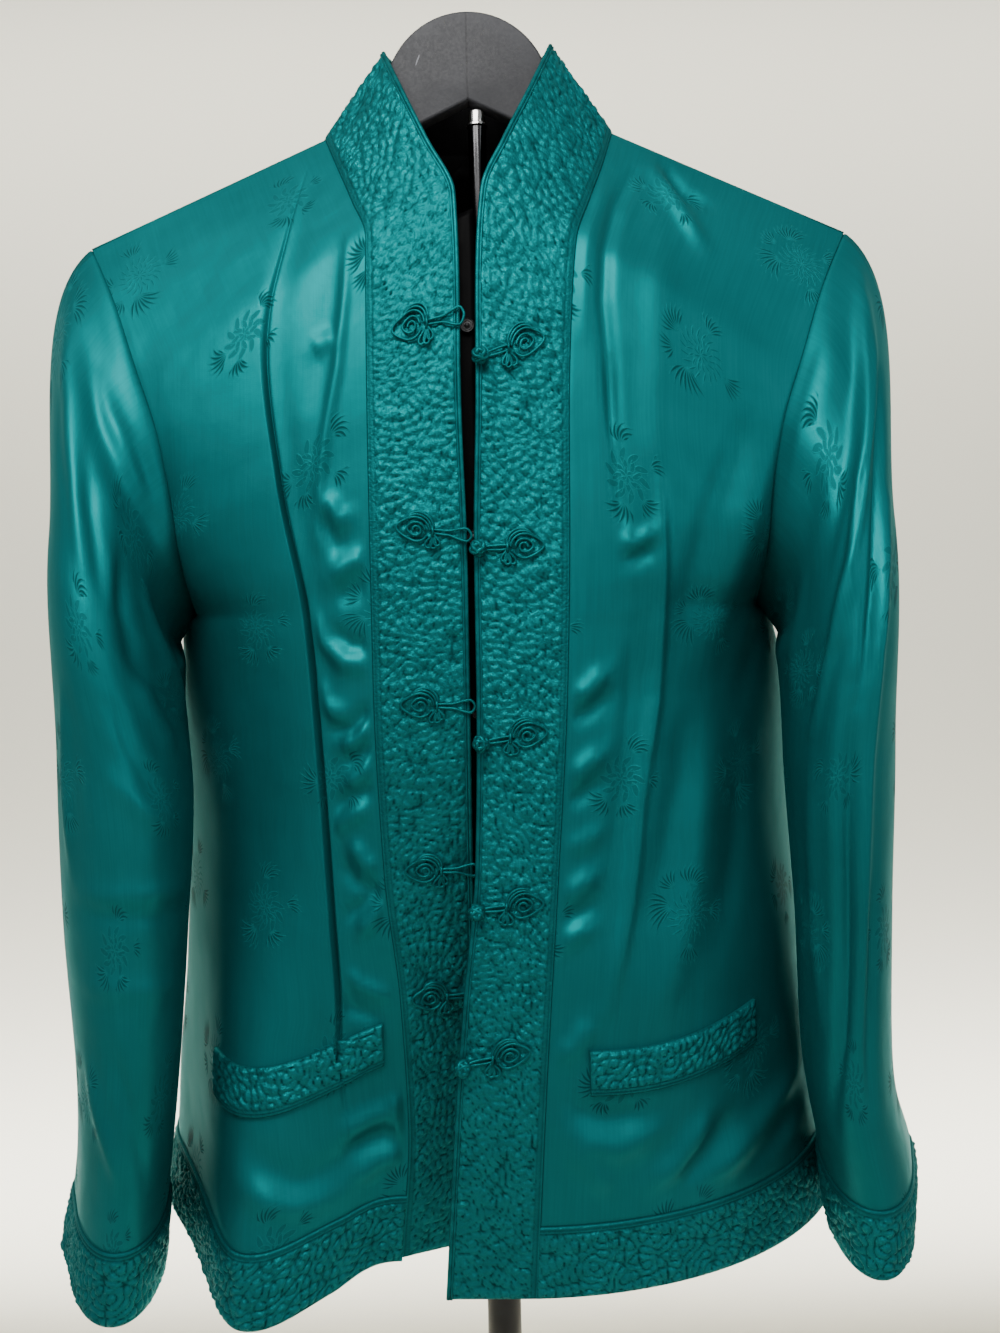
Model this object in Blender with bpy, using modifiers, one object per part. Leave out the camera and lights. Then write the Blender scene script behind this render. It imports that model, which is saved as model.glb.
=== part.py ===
"""A quilt-banded satin tang jacket, hung open on a garment stand.

World frame in metres: +Z up, the floor at Z = 0, the stand's pole on the Z axis, the jacket's
front facing -Y. Left and right are the wearer's, so the wearer's left is at +X.
"""

import functools
import math

import bmesh
import bpy
import numpy as np
from mathutils import Matrix, Vector

# ---------------------------------------------------------------- driving dimensions, metres
JACKET_X = -0.0065  # the jacket's own centre line, a little to one side of the pole
CLOTH_WALL = 0.0010
LINING_WALL = 0.0010
QUILT_WALL = 0.0012  # the plain inner half of a quilted band, level with the shell's wall
QUILT_RISE = 0.0007  # the wadding that lifts the band above the shell
QUILT_PUFF = 0.0013  # how far the puffs between stitch lines stand up
LINING_NEAR = 0.0015
LINING_GAP = 0.0080  # the lining hangs free of the back's folds

PIPING_RADIUS = 0.0012
FROG_CORD_RADIUS = 0.0007
FROG_LIFT = 0.0034  # cord centre above the band's base surface
KNOT_RADIUS = 0.0045
WELT_LIFT = 0.0034
SNAP_RADIUS = 0.0036
SNAP_INSET = 0.0050  # from the right band's free edge to a snap's centre
SNAP_DROP = 0.0040  # a snap sits this far below its frog
EDGE_GAP = 0.0006  # between a corded edge and the edge it is sewn to

HEM_SEAM_ROW = 11  # row numbers in FRONT_ROWS and BACK_ROWS
HEM_ROW = 12
UNDERARM_ROW = 6
CENTRE_SHARE = 0.08  # the back looks straight backwards at its centre line, over this share
SEAM_U = 0.005  # panels end this share short of a seam
SEAM_LEVEL = 0.022  # and this part of a row short of the shoulder seam
HEM_SEAM_LEVEL = 0.012
EASE_FROM_BAND = 0.10  # folds die out towards the seams, over these shares of a row
EASE_TO_SIDE = (0.80, 0.98)

NECK_SEAM_Z = 1.4035
NECK_BACK_Y = 0.058
NECK_BACK_Z = 1.408
COLLAR_TOP_BACK_Y = 0.052
COLLAR_TOP_BACK_Z = 1.458

BOARD_X = -0.0045
BOARD_Z = 1.4215
BOARD_RADIUS = 0.046
BOARD_THICKNESS = 0.010
BOARD_APEX_Z = 1.4206  # the notch under the middle of the board
ARM_SLOPE = math.tan(math.radians(23.5))
ARM_REACH = 0.182
ARM_HEIGHT = 0.010
ARM_ROOT_X = 0.0775
ARM_ROOT_Z = 1.3945
POLE_TOP_Z = 1.4125
UPPER_POLE_RADIUS = 0.005
LOWER_POLE_RADIUS = 0.010
POLE_JOIN_Z = 0.900
BASE_RADIUS = 0.180
BASE_HEIGHT = 0.012
HUB_HEIGHT = 0.030
HUB_RADIUS = 0.015
CAP_RADIUS = 0.0058
CAP_HEIGHT = 0.0097
CLAMP_RADIUS = 0.0135
CLAMP_HEIGHT = 0.040
FIT_GAP = 0.0003  # between the stand's own pieces where they meet


def table(columns, *rows):
    """Named columns of numbers, a row for each section."""
    names = columns.split()
    return {name: np.array([row[i] for row in rows], float) for i, name in enumerate(names)}


# Front bands, keyed by the height of the seam: where the seam and the free edge lie.
BAND = {
    1: table(
        "z x_seam y_seam x_edge y_edge z_edge",
        (0.7970, 0.0180, -0.0935, -0.0266, -0.0910, 0.7960),
        (0.8980, 0.0245, -0.0880, -0.0190, -0.0880, 0.8980),
        (0.9500, 0.0285, -0.0845, -0.0140, -0.0850, 0.9500),
        (1.0130, 0.0335, -0.0800, -0.0070, -0.0800, 1.0130),
        (1.0980, 0.0396, -0.0745, -0.0044, -0.0750, 1.0980),
        (1.1730, 0.0425, -0.0690, -0.0040, -0.0700, 1.1730),
        (1.2460, 0.0440, -0.0630, -0.0015, -0.0660, 1.2500),
        (1.2950, 0.0465, -0.0575, -0.0003, -0.0600, 1.3120),
        (1.3300, 0.0500, -0.0510, 0.0030, -0.0540, 1.3540),
        (1.3540, 0.0580, -0.0360, 0.0146, -0.0450, 1.3820),
        (1.3790, 0.0670, -0.0180, 0.0285, -0.0300, 1.4130),
        (NECK_SEAM_Z, 0.0745, 0.0000, 0.0405, -0.0060, 1.4480),
    ),
    -1: table(
        "z x_seam y_seam x_edge y_edge z_edge",
        (0.7990, -0.0540, -0.0620, -0.0095, -0.0450, 0.7980),
        (0.8700, -0.0480, -0.0620, -0.0100, -0.0460, 0.8700),
        (0.9380, -0.0500, -0.0640, -0.0125, -0.0520, 0.9380),
        (1.0090, -0.0562, -0.0670, -0.0120, -0.0620, 1.0090),
        (1.0980, -0.0585, -0.0690, -0.0110, -0.0700, 1.0980),
        (1.1730, -0.0582, -0.0680, -0.0107, -0.0700, 1.1730),
        (1.2500, -0.0580, -0.0630, -0.0120, -0.0660, 1.2520),
        (1.2950, -0.0578, -0.0570, -0.0115, -0.0600, 1.3120),
        (1.3330, -0.0577, -0.0500, -0.0125, -0.0540, 1.3520),
        (1.3570, -0.0660, -0.0350, -0.0260, -0.0450, 1.3825),
        (1.3800, -0.0750, -0.0180, -0.0390, -0.0300, 1.4140),
        (NECK_SEAM_Z, -0.0840, 0.0000, -0.0490, -0.0060, 1.4460),
    ),
}

# Fronts, a row for each level: z_in on the band seam, the outer end on the armhole or side seam
# (x from the jacket's centre), and how far the row bows out of a straight line.
FRONT_ROWS = table(
    "z_in x_out y_out z_out bow",
    (1.4035, 0.2095, 0.0000, 1.3475, 0.00),  # shoulder seam
    (1.3760, 0.1900, -0.0240, 1.3120, 0.35),  # below the yoke
    (1.3450, 0.1740, -0.0410, 1.2720, 0.55),  # neck corner
    (1.2900, 0.1610, -0.0490, 1.2320, 0.70),  # chest
    (1.2250, 0.1565, -0.0440, 1.1880, 0.85),  # armhole notch
    (1.1720, 0.1580, -0.0180, 1.1560, 0.95),  # scye
    (1.1420, 0.1620, 0.0120, 1.1420, 0.90),  # underarm
    (1.0970, 0.1755, 0.0365, 1.0970, 0.78),  # bust
    (1.0130, 0.1705, 0.0350, 1.0130, 0.88),  # waist
    (0.9430, 0.1730, 0.0315, 0.9430, 1.00),  # hip
    (0.8850, 0.1785, 0.0285, 0.8850, 1.00),  # below the pockets
    (0.8335, 0.1850, 0.0240, 0.8335, 1.00),  # hem band seam
    (0.7970, 0.1940, 0.0210, 0.7970, 1.00),  # hem
)

# Back, a row for each level: how far round the back of the neck the inner end lies (0 at the
# shoulder seam, 1 at the centre back), the centre line's depth and height, the outer end, the bow.
BACK_ROWS = table(
    "around y_mid z_mid x_out y_out z_out bow",
    (0.00, 0.0580, 1.4080, 0.2095, 0.0000, 1.3475, 0.00),  # shoulder seam
    (0.45, 0.0580, 1.4080, 0.2040, 0.0200, 1.3220, 0.20),  # back yoke
    (1.00, 0.0580, 1.4080, 0.1950, 0.0400, 1.2850, 0.40),  # nape
    (1.00, 0.0700, 1.3450, 0.1870, 0.0500, 1.2400, 0.70),  # shoulder blades
    (1.00, 0.0790, 1.2600, 0.1800, 0.0500, 1.1950, 0.90),  # across the back
    (1.00, 0.0830, 1.1930, 0.1710, 0.0340, 1.1600, 1.00),  # scye
    (1.00, 0.0840, 1.1420, 0.1620, 0.0120, 1.1420, 1.00),  # underarm
    (1.00, 0.0845, 1.0970, 0.1755, 0.0365, 1.0970, 1.00),  # bust
    (1.00, 0.0855, 1.0130, 0.1705, 0.0350, 1.0130, 1.00),  # waist
    (1.00, 0.0870, 0.9430, 0.1730, 0.0315, 0.9430, 1.00),  # hip
    (1.00, 0.0890, 0.8850, 0.1785, 0.0285, 0.8850, 1.00),  # below the pockets
    (1.00, 0.0910, 0.8335, 0.1850, 0.0240, 0.8335, 1.00),  # hem band seam
    (1.00, 0.0925, 0.7970, 0.1940, 0.0210, 0.7970, 1.00),  # hem
)

LEFT_FULLNESS = table(  # the wearer's left side seam stands out further, by row
    "row more back",
    (6.0, 0.0000, 0.0000),
    (7.0, 0.0058, 0.0090),
    (8.0, 0.0145, 0.0160),
    (9.0, 0.0180, 0.0185),
    (10.0, 0.0200, 0.0190),
    (11.0, 0.0185, 0.0190),
    (12.0, 0.0170, 0.0190),
)

# Sleeve rings: centre (x from the jacket's centre), half length and half width of the oval, its
# turn towards the front, and how much the outer side rises above the inner side.
SLEEVE_RINGS = {
    1: table(
        "z x y half_length half_width turn rise",
        (1.1500, 0.1945, -0.0250, 0.0740, 0.0285, 9.0, 0.040),  # upper arm
        (1.0600, 0.1935, -0.0380, 0.0690, 0.0280, 14.0, 0.012),  # elbow
        (0.9800, 0.1936, -0.0440, 0.0650, 0.0245, 14.0, 0.003),  # forearm
        (0.9000, 0.1945, -0.0485, 0.0620, 0.0230, 14.0, 0.000),  # lower forearm
        (0.8470, 0.2040, -0.0485, 0.0590, 0.0235, 14.0, 0.000),  # cuff seam
        (0.8110, 0.2060, -0.0480, 0.0590, 0.0210, 14.0, 0.000),  # cuff edge
    ),
    -1: table(
        "z x y half_length half_width turn rise",
        (1.1500, 0.1935, -0.0240, 0.0740, 0.0310, 10.0, 0.040),  # upper arm
        (1.0600, 0.1901, -0.0380, 0.0690, 0.0340, 20.0, 0.012),  # elbow
        (0.9800, 0.1919, -0.0440, 0.0650, 0.0312, 24.0, 0.003),  # forearm
        (0.9000, 0.1934, -0.0470, 0.0620, 0.0261, 22.0, 0.000),  # lower forearm
        (0.8320, 0.1994, -0.0465, 0.0590, 0.0236, 20.0, 0.000),  # cuff seam
        (0.7930, 0.2042, -0.0455, 0.0590, 0.0236, 20.0, 0.000),  # cuff edge
    ),
}
CUFF_SEAM_STATION = 5  # station 0 is the armhole, station 1 the first ring
CUFF_EDGE_STATION = 6
SLEEVE_TWIST = math.radians(20.0)
SLEEVE_HEAD_OUT = (0.050, 0.055, 0.015)  # how a sleeve leaves the armhole: everywhere, at the
SLEEVE_HEAD_DOWN = (0.080, 0.005)  # shoulder more, and under the arm
SLEEVE_HEAD_SIDE = (0.085, 0.060)  # towards the front, towards the back
SLEEVE_GAP = (0.010, 0.052)  # a sleeve starts this far along: at the shoulder, more under the arm
SLIT_FLARE = 0.007  # the cuff's two ends stand out beside the slit
SLIT_FLARE_WIDTH = 0.05
SLIT_SHARE = 0.008
SLIT_AROUND = -0.115  # where the cuff is open, as a share of the way round from the shoulder line

# The long overlapping fold down the wearer's right front: its line, how far the cloth outside
# it stands forward, and the trough on the band's side.
LONG_FOLD = table(
    "z across rise trough",
    (0.8335, 0.0700, 0.000, 0.0000),
    (0.8850, 0.0710, 0.002, 0.0000),
    (0.9300, 0.0725, 0.005, 0.0010),
    (0.9550, 0.0740, 0.012, 0.0065),
    (0.9850, 0.0755, 0.014, 0.0090),
    (1.0760, 0.0795, 0.013, 0.0085),
    (1.1690, 0.0840, 0.011, 0.0065),
    (1.2700, 0.0925, 0.008, 0.0040),
    (1.3300, 0.0890, 0.005, 0.0030),
    (1.3900, 0.0800, 0.000, 0.0000),
)
LONG_FOLD_EDGE = 0.0065  # half width of the step
LONG_FOLD_RUN = 0.046  # the forward cloth eases back over this width

# Soft folds, a row for each: the panel, the fold's line from top to bottom (x from the jacket's
# centre, outwards on a front), its half width and its height, below zero for a trough.
FOLDS = (  # panel, x_top, z_top, x_low, z_low, width, height
    ("front_right", 0.150, 1.290, 0.125, 1.180, 0.012, -0.0030),
    ("front_right", 0.067, 1.250, 0.062, 0.960, 0.007, 0.0030),
    ("front_right", 0.105, 0.880, 0.072, 0.845, 0.012, 0.0050),
    ("front_right", 0.140, 0.900, 0.150, 0.800, 0.016, 0.0060),
    ("front_left", 0.088, 1.370, 0.098, 1.180, 0.007, 0.0045),
    ("front_left", 0.100, 1.365, 0.112, 1.190, 0.007, -0.0040),
    ("front_left", 0.075, 1.340, 0.070, 1.190, 0.009, -0.0035),
    ("front_left", 0.090, 1.190, 0.070, 0.930, 0.008, 0.0050),
    ("front_left", 0.074, 1.150, 0.058, 0.900, 0.009, -0.0040),
    ("front_left", 0.145, 1.230, 0.105, 1.130, 0.010, 0.0040),
    ("front_left", 0.128, 1.180, 0.115, 0.940, 0.014, -0.0040),
    ("front_left", 0.120, 0.890, 0.060, 0.840, 0.012, 0.0050),
    ("front_left", 0.145, 0.900, 0.100, 0.835, 0.012, 0.0040),
    ("back", -0.120, 1.230, -0.128, 0.790, 0.015, 0.0070),
    ("back", -0.090, 1.300, -0.088, 0.790, 0.014, -0.0060),
    ("back", -0.050, 1.270, -0.058, 0.790, 0.016, 0.0060),
    ("back", -0.004, 1.240, 0.002, 0.790, 0.018, -0.0060),
    ("back", 0.046, 1.290, 0.050, 0.790, 0.015, 0.0065),
    ("back", 0.084, 1.250, 0.092, 0.790, 0.014, -0.0055),
    ("back", 0.122, 1.240, 0.130, 0.790, 0.014, 0.0070),
)

# Sleeve folds, a row for each: the share of the way round at its top and bottom, heights, half
# width as a share of the way round, and height.
SLEEVE_FOLDS = (  # panel, around_top, z_top, around_low, z_low, width, height
    ("sleeve_right", 0.06, 1.310, 0.27, 1.130, 0.030, 0.0060),
    ("sleeve_right", 0.13, 1.290, 0.33, 1.120, 0.028, -0.0055),
    ("sleeve_right", 0.10, 1.200, 0.24, 1.000, 0.035, 0.0045),
    ("sleeve_right", 0.02, 1.150, 0.06, 0.860, 0.035, -0.0035),
    ("sleeve_right", 0.62, 1.250, 0.70, 1.000, 0.035, 0.0050),
    ("sleeve_right", 0.80, 1.200, 0.78, 0.900, 0.035, -0.0045),
    ("sleeve_left", 0.00, 1.320, 0.07, 0.880, 0.020, 0.0055),
    ("sleeve_left", 0.05, 1.330, 0.12, 0.880, 0.020, -0.0050),
    ("sleeve_left", 0.10, 1.250, 0.19, 0.880, 0.022, 0.0040),
    ("sleeve_left", 0.24, 1.230, 0.31, 1.080, 0.028, -0.0045),
    ("sleeve_left", 0.64, 1.240, 0.69, 0.980, 0.035, 0.0050),
    ("sleeve_left", 0.82, 1.220, 0.80, 0.920, 0.035, -0.0045),
)

# Where the fronts swing forward of the side seams near the hem: the line's distance from the
# centre, its half width, how far forward and how far down at the hem, and where it starts.
SWINGS = {
    1: {"across": 0.060, "width": 0.070, "forward": 0.000, "drop": 0.000, "z_top": 1.000},
    -1: {"across": 0.126, "width": 0.032, "forward": 0.046, "drop": 0.012, "z_top": 1.050},
}

# Pocket welts: on each front, the inner and outer ends of the lower edge as (x from the centre,
# z), the height, and how far the top edge's middle sags.
WELTS = {
    1: {"x": (0.0530, 0.1440), "z": (0.8985, 0.9080), "height": 0.0225, "sag": 0.0045},
    -1: {"x": (0.0530, 0.1440), "z": (0.9060, 0.8930), "height": 0.0225, "sag": 0.0040},
}

# Frog closures from the top: height of the flower on each side, and of the knot and loop ends.
FROGS = table(
    "z_left z_knot z_right z_loop",
    (1.2700, 1.2605, 1.2785, 1.2770),
    (1.1738, 1.1731, 1.1834, 1.1803),
    (1.0798, 1.0765, 1.0954, 1.0947),
    (0.9948, 0.9930, 1.0095, 1.0091),
    (0.9203, 0.9164, 0.9400, 0.9390),
)
FROG_CENTRE = 0.0235  # distance of the flower's centre from the free edge
SPIRAL_TURNS = 1.75
SPIRAL_START = 0.0018
SPIRAL_END = 0.0074
PETALS = 4
PETAL_VALLEY = 0.0097
PETAL_TIP = 0.0138
LOOP_REACH = -0.0042
KNOT_CORD_END = 0.0062

UNDERLAP_TOP = 1.335
UNDERLAP_LOW = 0.930
UNDERLAP_REACH = 0.0095
UNDERLAP_WIDTH = 0.026
UNDERLAP_BEHIND = 0.0026


# ---------------------------------------------------------------- curves and tables
def smooth(keys, values, at):
    """A monotone cubic through the rows of a table, whose keys rise."""
    at = np.clip(np.asarray(at, float), keys[0], keys[-1])
    step = np.diff(keys)
    rise = np.diff(values) / step
    slope = np.concatenate(([rise[0]], np.zeros(len(rise) - 1), [rise[-1]]))
    for i in range(1, len(rise)):
        if rise[i - 1] * rise[i] > 0:
            slope[i] = 2 * rise[i - 1] * rise[i] / (rise[i - 1] + rise[i])
    i = np.clip(np.searchsorted(keys, at, side="right") - 1, 0, len(step) - 1)
    t = (at - keys[i]) / step[i]
    start, end = values[i], values[i + 1]
    bend = t * (1 - t) ** 2 * slope[i] - t * t * (1 - t) * slope[i + 1]
    return start + (end - start) * t * t * (3 - 2 * t) + bend * step[i]


def row(rows, column, at):
    """A column of a table whose rows are numbered from 0."""
    return smooth(np.arange(len(rows[column]), dtype=float), rows[column], at)


def outer_end(rows, side, level):
    """Where a row ends: on the armhole above the underarm, on the side seam below it."""
    keys = np.arange(len(rows["x_out"]), dtype=float)
    split = UNDERARM_ROW

    def column(name):
        above = smooth(keys[: split + 1], rows[name][: split + 1], level)
        below = smooth(keys[split:], rows[name][split:], level)
        return np.where(level < split, above, below)

    x_out, y_out = column("x_out"), column("y_out")
    if side > 0:
        x_out = x_out + smooth(LEFT_FULLNESS["row"], LEFT_FULLNESS["more"], level)
        y_out = y_out + smooth(LEFT_FULLNESS["row"], LEFT_FULLNESS["back"], level)
    return points(JACKET_X + side * x_out, y_out, column("z_out"))


def ease(low, high, at):
    """0 below low, 1 above high, and smooth between."""
    t = np.clip((at - low) / (high - low), 0, 1)
    return t * t * (3 - 2 * t)


def bell(distance, width):
    """1 on a line and 0 a few half widths away."""
    return np.exp(-((distance / width) ** 2))


def points(x, y, z):
    return np.stack(np.broadcast_arrays(x, y, z), axis=-1).astype(float)


def outward(surface, u, v, middle, step=1e-3):
    """Unit normals of a surface of u and v, on the side away from the middle line (x, y)."""
    along = surface(u + step, v) - surface(u - step, v)
    down = surface(u, v + step) - surface(u, v - step)
    normal = np.cross(along, down)
    normal /= np.maximum(np.linalg.norm(normal, axis=-1, keepdims=True), 1e-12)
    here = surface(u, v)
    away = here[..., 0] * 0
    away += normal[..., 0] * (here[..., 0] - middle[0]) + normal[..., 1] * (here[..., 1] - middle[1])
    return normal * np.where(away < 0, -1.0, 1.0)[..., None]


# ---------------------------------------------------------------- the jacket's surfaces
def band_point(side, across, z):
    """A front band: across runs from the seam (0) to the free edge (1), z is the seam's height."""
    rows = BAND[side]

    def at(name):
        return smooth(rows["z"], rows[name], z)

    seam = points(at("x_seam"), at("y_seam"), z)
    edge = points(at("x_edge"), at("y_edge"), at("z_edge"))
    across = np.asarray(across, float)[..., None]
    return seam + (edge - seam) * across


def band_outward(side, across, z):
    """The band's own normal, leaning out at the collar."""
    across, z = np.broadcast_arrays(np.asarray(across, float), np.asarray(z, float))
    z = np.clip(z, BAND[side]["z"][0] + 0.001, NECK_SEAM_Z - 0.001)

    def surface(u, v):
        return band_point(side, u, v)

    return outward(surface, across, z, (JACKET_X, 0.03))


def neck_point(around):
    """The neck seam at the back: 0 and 2 at the shoulder seams, 1 at the centre back."""
    angle = np.asarray(around, float) * math.pi / 2
    left, right = BAND[1]["x_seam"][-1], BAND[-1]["x_seam"][-1]
    middle, half = (left + right) / 2, (left - right) / 2
    lift = (NECK_BACK_Z - NECK_SEAM_Z) * np.sin(angle)
    return points(middle + half * np.cos(angle), NECK_BACK_Y * np.sin(angle), NECK_SEAM_Z + lift)


def collar_point(around, up):
    """The collar behind the shoulder seams, up from the neck seam (0) to its top edge (1)."""
    angle = np.asarray(around, float) * math.pi / 2
    left, right = BAND[1]["x_edge"][-1], BAND[-1]["x_edge"][-1]
    middle, half = (left + right) / 2, (left - right) / 2
    start_y = BAND[1]["y_edge"][-1]
    y = start_y + (COLLAR_TOP_BACK_Y - start_y) * np.sin(angle)
    z_side = BAND[1]["z_edge"][-1] + (BAND[-1]["z_edge"][-1] - BAND[1]["z_edge"][-1]) * around / 2
    z = z_side + (COLLAR_TOP_BACK_Z - z_side) * np.sin(angle)
    top = points(middle + half * np.cos(angle), y, z)
    seam = neck_point(around)
    return seam + (top - seam) * np.asarray(up, float)[..., None]


def bowed_row(inner, outer, u, bow, level_start=0.0):
    """A row from its inner to its outer end, bowed out as a quarter of an oval.

    With level_start at 1 it leaves its inner end level and square to the centre line.
    """
    angle = np.clip(u, -0.02, 1.0) * math.pi / 2
    sine = np.sin(angle) * bow + u * (1 - bow)
    cosine = np.cos(angle) * bow + (1 - u) * (1 - bow)
    cosine = cosine + (np.cos(angle) - cosine) * level_start
    fall = sine + (1 - np.cos(angle) - sine) * level_start
    x = inner[..., 0] + (outer[..., 0] - inner[..., 0]) * sine
    y = outer[..., 1] + (inner[..., 1] - outer[..., 1]) * cosine
    z = inner[..., 2] + (outer[..., 2] - inner[..., 2]) * fall
    return points(x, y, z)


def front_base(side, u, level):
    """A front before its folds: u from the band seam (0) to the armhole and side seam (1)."""
    inner = band_point(side, np.zeros_like(u), row(FRONT_ROWS, "z_in", level))
    return bowed_row(inner, outer_end(FRONT_ROWS, side, level), u, row(FRONT_ROWS, "bow", level))


def back_base(side, u, level):
    """Half of the back before its folds: u from the neck or centre line to the outer edge."""
    around = row(BACK_ROWS, "around", level)
    neck = neck_point(around if side > 0 else 2 - around)
    drop = NECK_BACK_Z - row(BACK_ROWS, "z_mid", level)
    depth = row(BACK_ROWS, "y_mid", level) - NECK_BACK_Y
    to_middle = (JACKET_X - neck_point(1.0)[0]) * ease(2.0, 4.0, level)
    inner = neck + points(to_middle, depth, -drop)
    outer = outer_end(BACK_ROWS, side, level)
    rounded = ease(0.0, 2.0, level)
    return bowed_row(inner, outer, u, row(BACK_ROWS, "bow", level), rounded)


def line_folds(panel, across, z):
    """The height of a panel's soft folds above its base surface."""
    height = np.zeros_like(across)
    for name, x_top, z_top, x_low, z_low, width, rise in FOLDS:
        if name != panel:
            continue
        share = (z_top - z) / (z_top - z_low)
        line = x_top + (x_low - x_top) * np.clip(share, 0, 1)
        end_low = 0.0 if z_low < 0.80 else 0.18
        fade = ease(-0.02, 0.22, share) * (1 - end_low / 0.18 * ease(0.80, 1.02, share))
        height += rise * fade * bell(across - line, width)
    return height


def long_fold(across, z):
    """The overlapping fold of the wearer's right front, as height above the base surface."""
    line = smooth(LONG_FOLD["z"], LONG_FOLD["across"], z)
    rise = smooth(LONG_FOLD["z"], LONG_FOLD["rise"], z)
    trough = smooth(LONG_FOLD["z"], LONG_FOLD["trough"], z)
    past = across - line
    step = ease(-LONG_FOLD_EDGE, LONG_FOLD_EDGE, past) * (1 - ease(0.012, LONG_FOLD_RUN, past))
    return rise * step - trough * bell(past + 0.0085, 0.0065)


def front_folds(side, across, z):
    panel = "front_left" if side > 0 else "front_right"
    height = line_folds(panel, across, z)
    if side < 0:
        height = height + long_fold(across, z)
    return height


def front_point(side, u, level):
    """The outer face of a front or of the hem band below it."""
    u, level = np.broadcast_arrays(np.asarray(u, float), np.asarray(level, float))

    def surface(a, b):
        return front_base(side, a, b)

    base = surface(u, level)
    normal = outward(surface, np.clip(u, 0.002, 0.998), level, (JACKET_X, 0.02))
    across = side * (base[..., 0] - JACKET_X)
    fixed = ease(0.0, EASE_FROM_BAND, u) * (1 - ease(*EASE_TO_SIDE, u)) * ease(0.1, 1.0, level)
    folded = base + normal * (front_folds(side, across, base[..., 2]) * fixed)[..., None]
    swing = SWINGS[side]
    share = 1 - ease(0.797, swing["z_top"], base[..., 2])
    pull = share * bell(across - swing["across"], swing["width"]) * ease(0.0, 0.15, u)
    pull = pull * (1 - ease(0.86, 1.0, u))
    folded[..., 1] -= swing["forward"] * pull
    folded[..., 2] -= swing["drop"] * pull
    return folded


def back_point(side, u, level):
    """The outer face of half of the back or of the hem band below it."""
    u, level = np.broadcast_arrays(np.asarray(u, float), np.asarray(level, float))

    def surface(a, b):
        return back_base(side, a, b)

    base = surface(u, level)
    normal = outward(surface, np.clip(u, 0.002, 0.998), level, (JACKET_X, 0.0))
    aside = ease(0.0, CENTRE_SHARE, u)[..., None]
    normal = normal * aside + np.array((0.0, 1.0, 0.0)) * (1 - aside)
    across = base[..., 0] - JACKET_X
    fixed = (1 - ease(*EASE_TO_SIDE, u)) * ease(2.0, 3.5, level)
    return base + normal * (line_folds("back", across, base[..., 2]) * fixed)[..., None]


def armhole_point(side, around):
    """The armhole: 0 at the shoulder, 0.25 at the front, 0.5 under the arm, 0.75 at the back."""
    around = np.mod(np.asarray(around, float), 1.0)
    front = around <= 0.5
    level = np.where(front, around, 1 - around) * 2 * UNDERARM_ROW
    ones = np.ones_like(level)
    ahead = front_base(side, ones, level)
    behind = back_base(side, ones, level)
    return np.where(front[..., None], ahead, behind)


def sleeve_ring(side, around, ring):
    """A point on one of the sleeve's oval rings."""
    angle = 2 * math.pi * np.asarray(around, float) + SLEEVE_TWIST

    def at(name):
        return SLEEVE_RINGS[side][name][ring]

    turn = math.radians(at("turn"))
    forward = at("half_length") * np.sin(angle)
    out = at("half_width") * np.cos(angle)
    x = at("x") - forward * math.sin(turn) + out * math.cos(turn)
    y = at("y") - forward * math.cos(turn) - out * math.sin(turn)
    z = at("z") + at("rise") * np.cos(angle)
    return points(JACKET_X + side * x, y, z)


def sleeve_base(side, around, station):
    """A sleeve before its folds: station 0 on the armhole, 1 and up on the rings."""
    around, station = np.broadcast_arrays(np.asarray(around, float), np.asarray(station, float))
    rings = [armhole_point(side, around)]
    rings += [sleeve_ring(side, around, i) for i in range(len(SLEEVE_RINGS[side]["z"]))]
    rings = np.stack(rings)
    last = len(rings) - 1
    slopes = np.empty_like(rings)
    slopes[1:-1] = (rings[2:] - rings[:-2]) / 2
    slopes[-1] = rings[-1] - rings[-2]
    angle = 2 * math.pi * around
    out = np.cos(angle) * 0.5 + 0.5
    sideways = -np.where(np.sin(angle) > 0, *SLEEVE_HEAD_SIDE) * np.sin(angle)
    reach_out = SLEEVE_HEAD_OUT[0] + SLEEVE_HEAD_OUT[1] * out + SLEEVE_HEAD_OUT[2] * (1 - out) ** 4
    slopes[0] = points(side * reach_out, sideways, SLEEVE_HEAD_DOWN[1] * out - SLEEVE_HEAD_DOWN[0])
    i = np.clip(np.floor(station).astype(int), 0, last - 1)
    t = (station - i)[..., None]

    def pick(stack, index):
        return np.take_along_axis(stack, index[None, ..., None], axis=0)[0]

    start = pick(rings, i)
    blend = start + (pick(rings, i + 1) - start) * t * t * (3 - 2 * t)
    return blend + pick(slopes, i) * t * (1 - t) ** 2 - pick(slopes, i + 1) * t * t * (1 - t)


def sleeve_folds(side, around, z):
    panel = "sleeve_left" if side > 0 else "sleeve_right"
    height = np.zeros_like(around)
    for name, w_top, z_top, w_low, z_low, width, rise in SLEEVE_FOLDS:
        if name != panel:
            continue
        share = (z_top - z) / (z_top - z_low)
        line = w_top + (w_low - w_top) * np.clip(share, 0, 1)
        away = np.mod(around - line + 0.5, 1.0) - 0.5
        fade = ease(0.0, 0.25, share) * (1 - ease(0.75, 1.0, share))
        height += rise * fade * bell(away, width)
    return height


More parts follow.
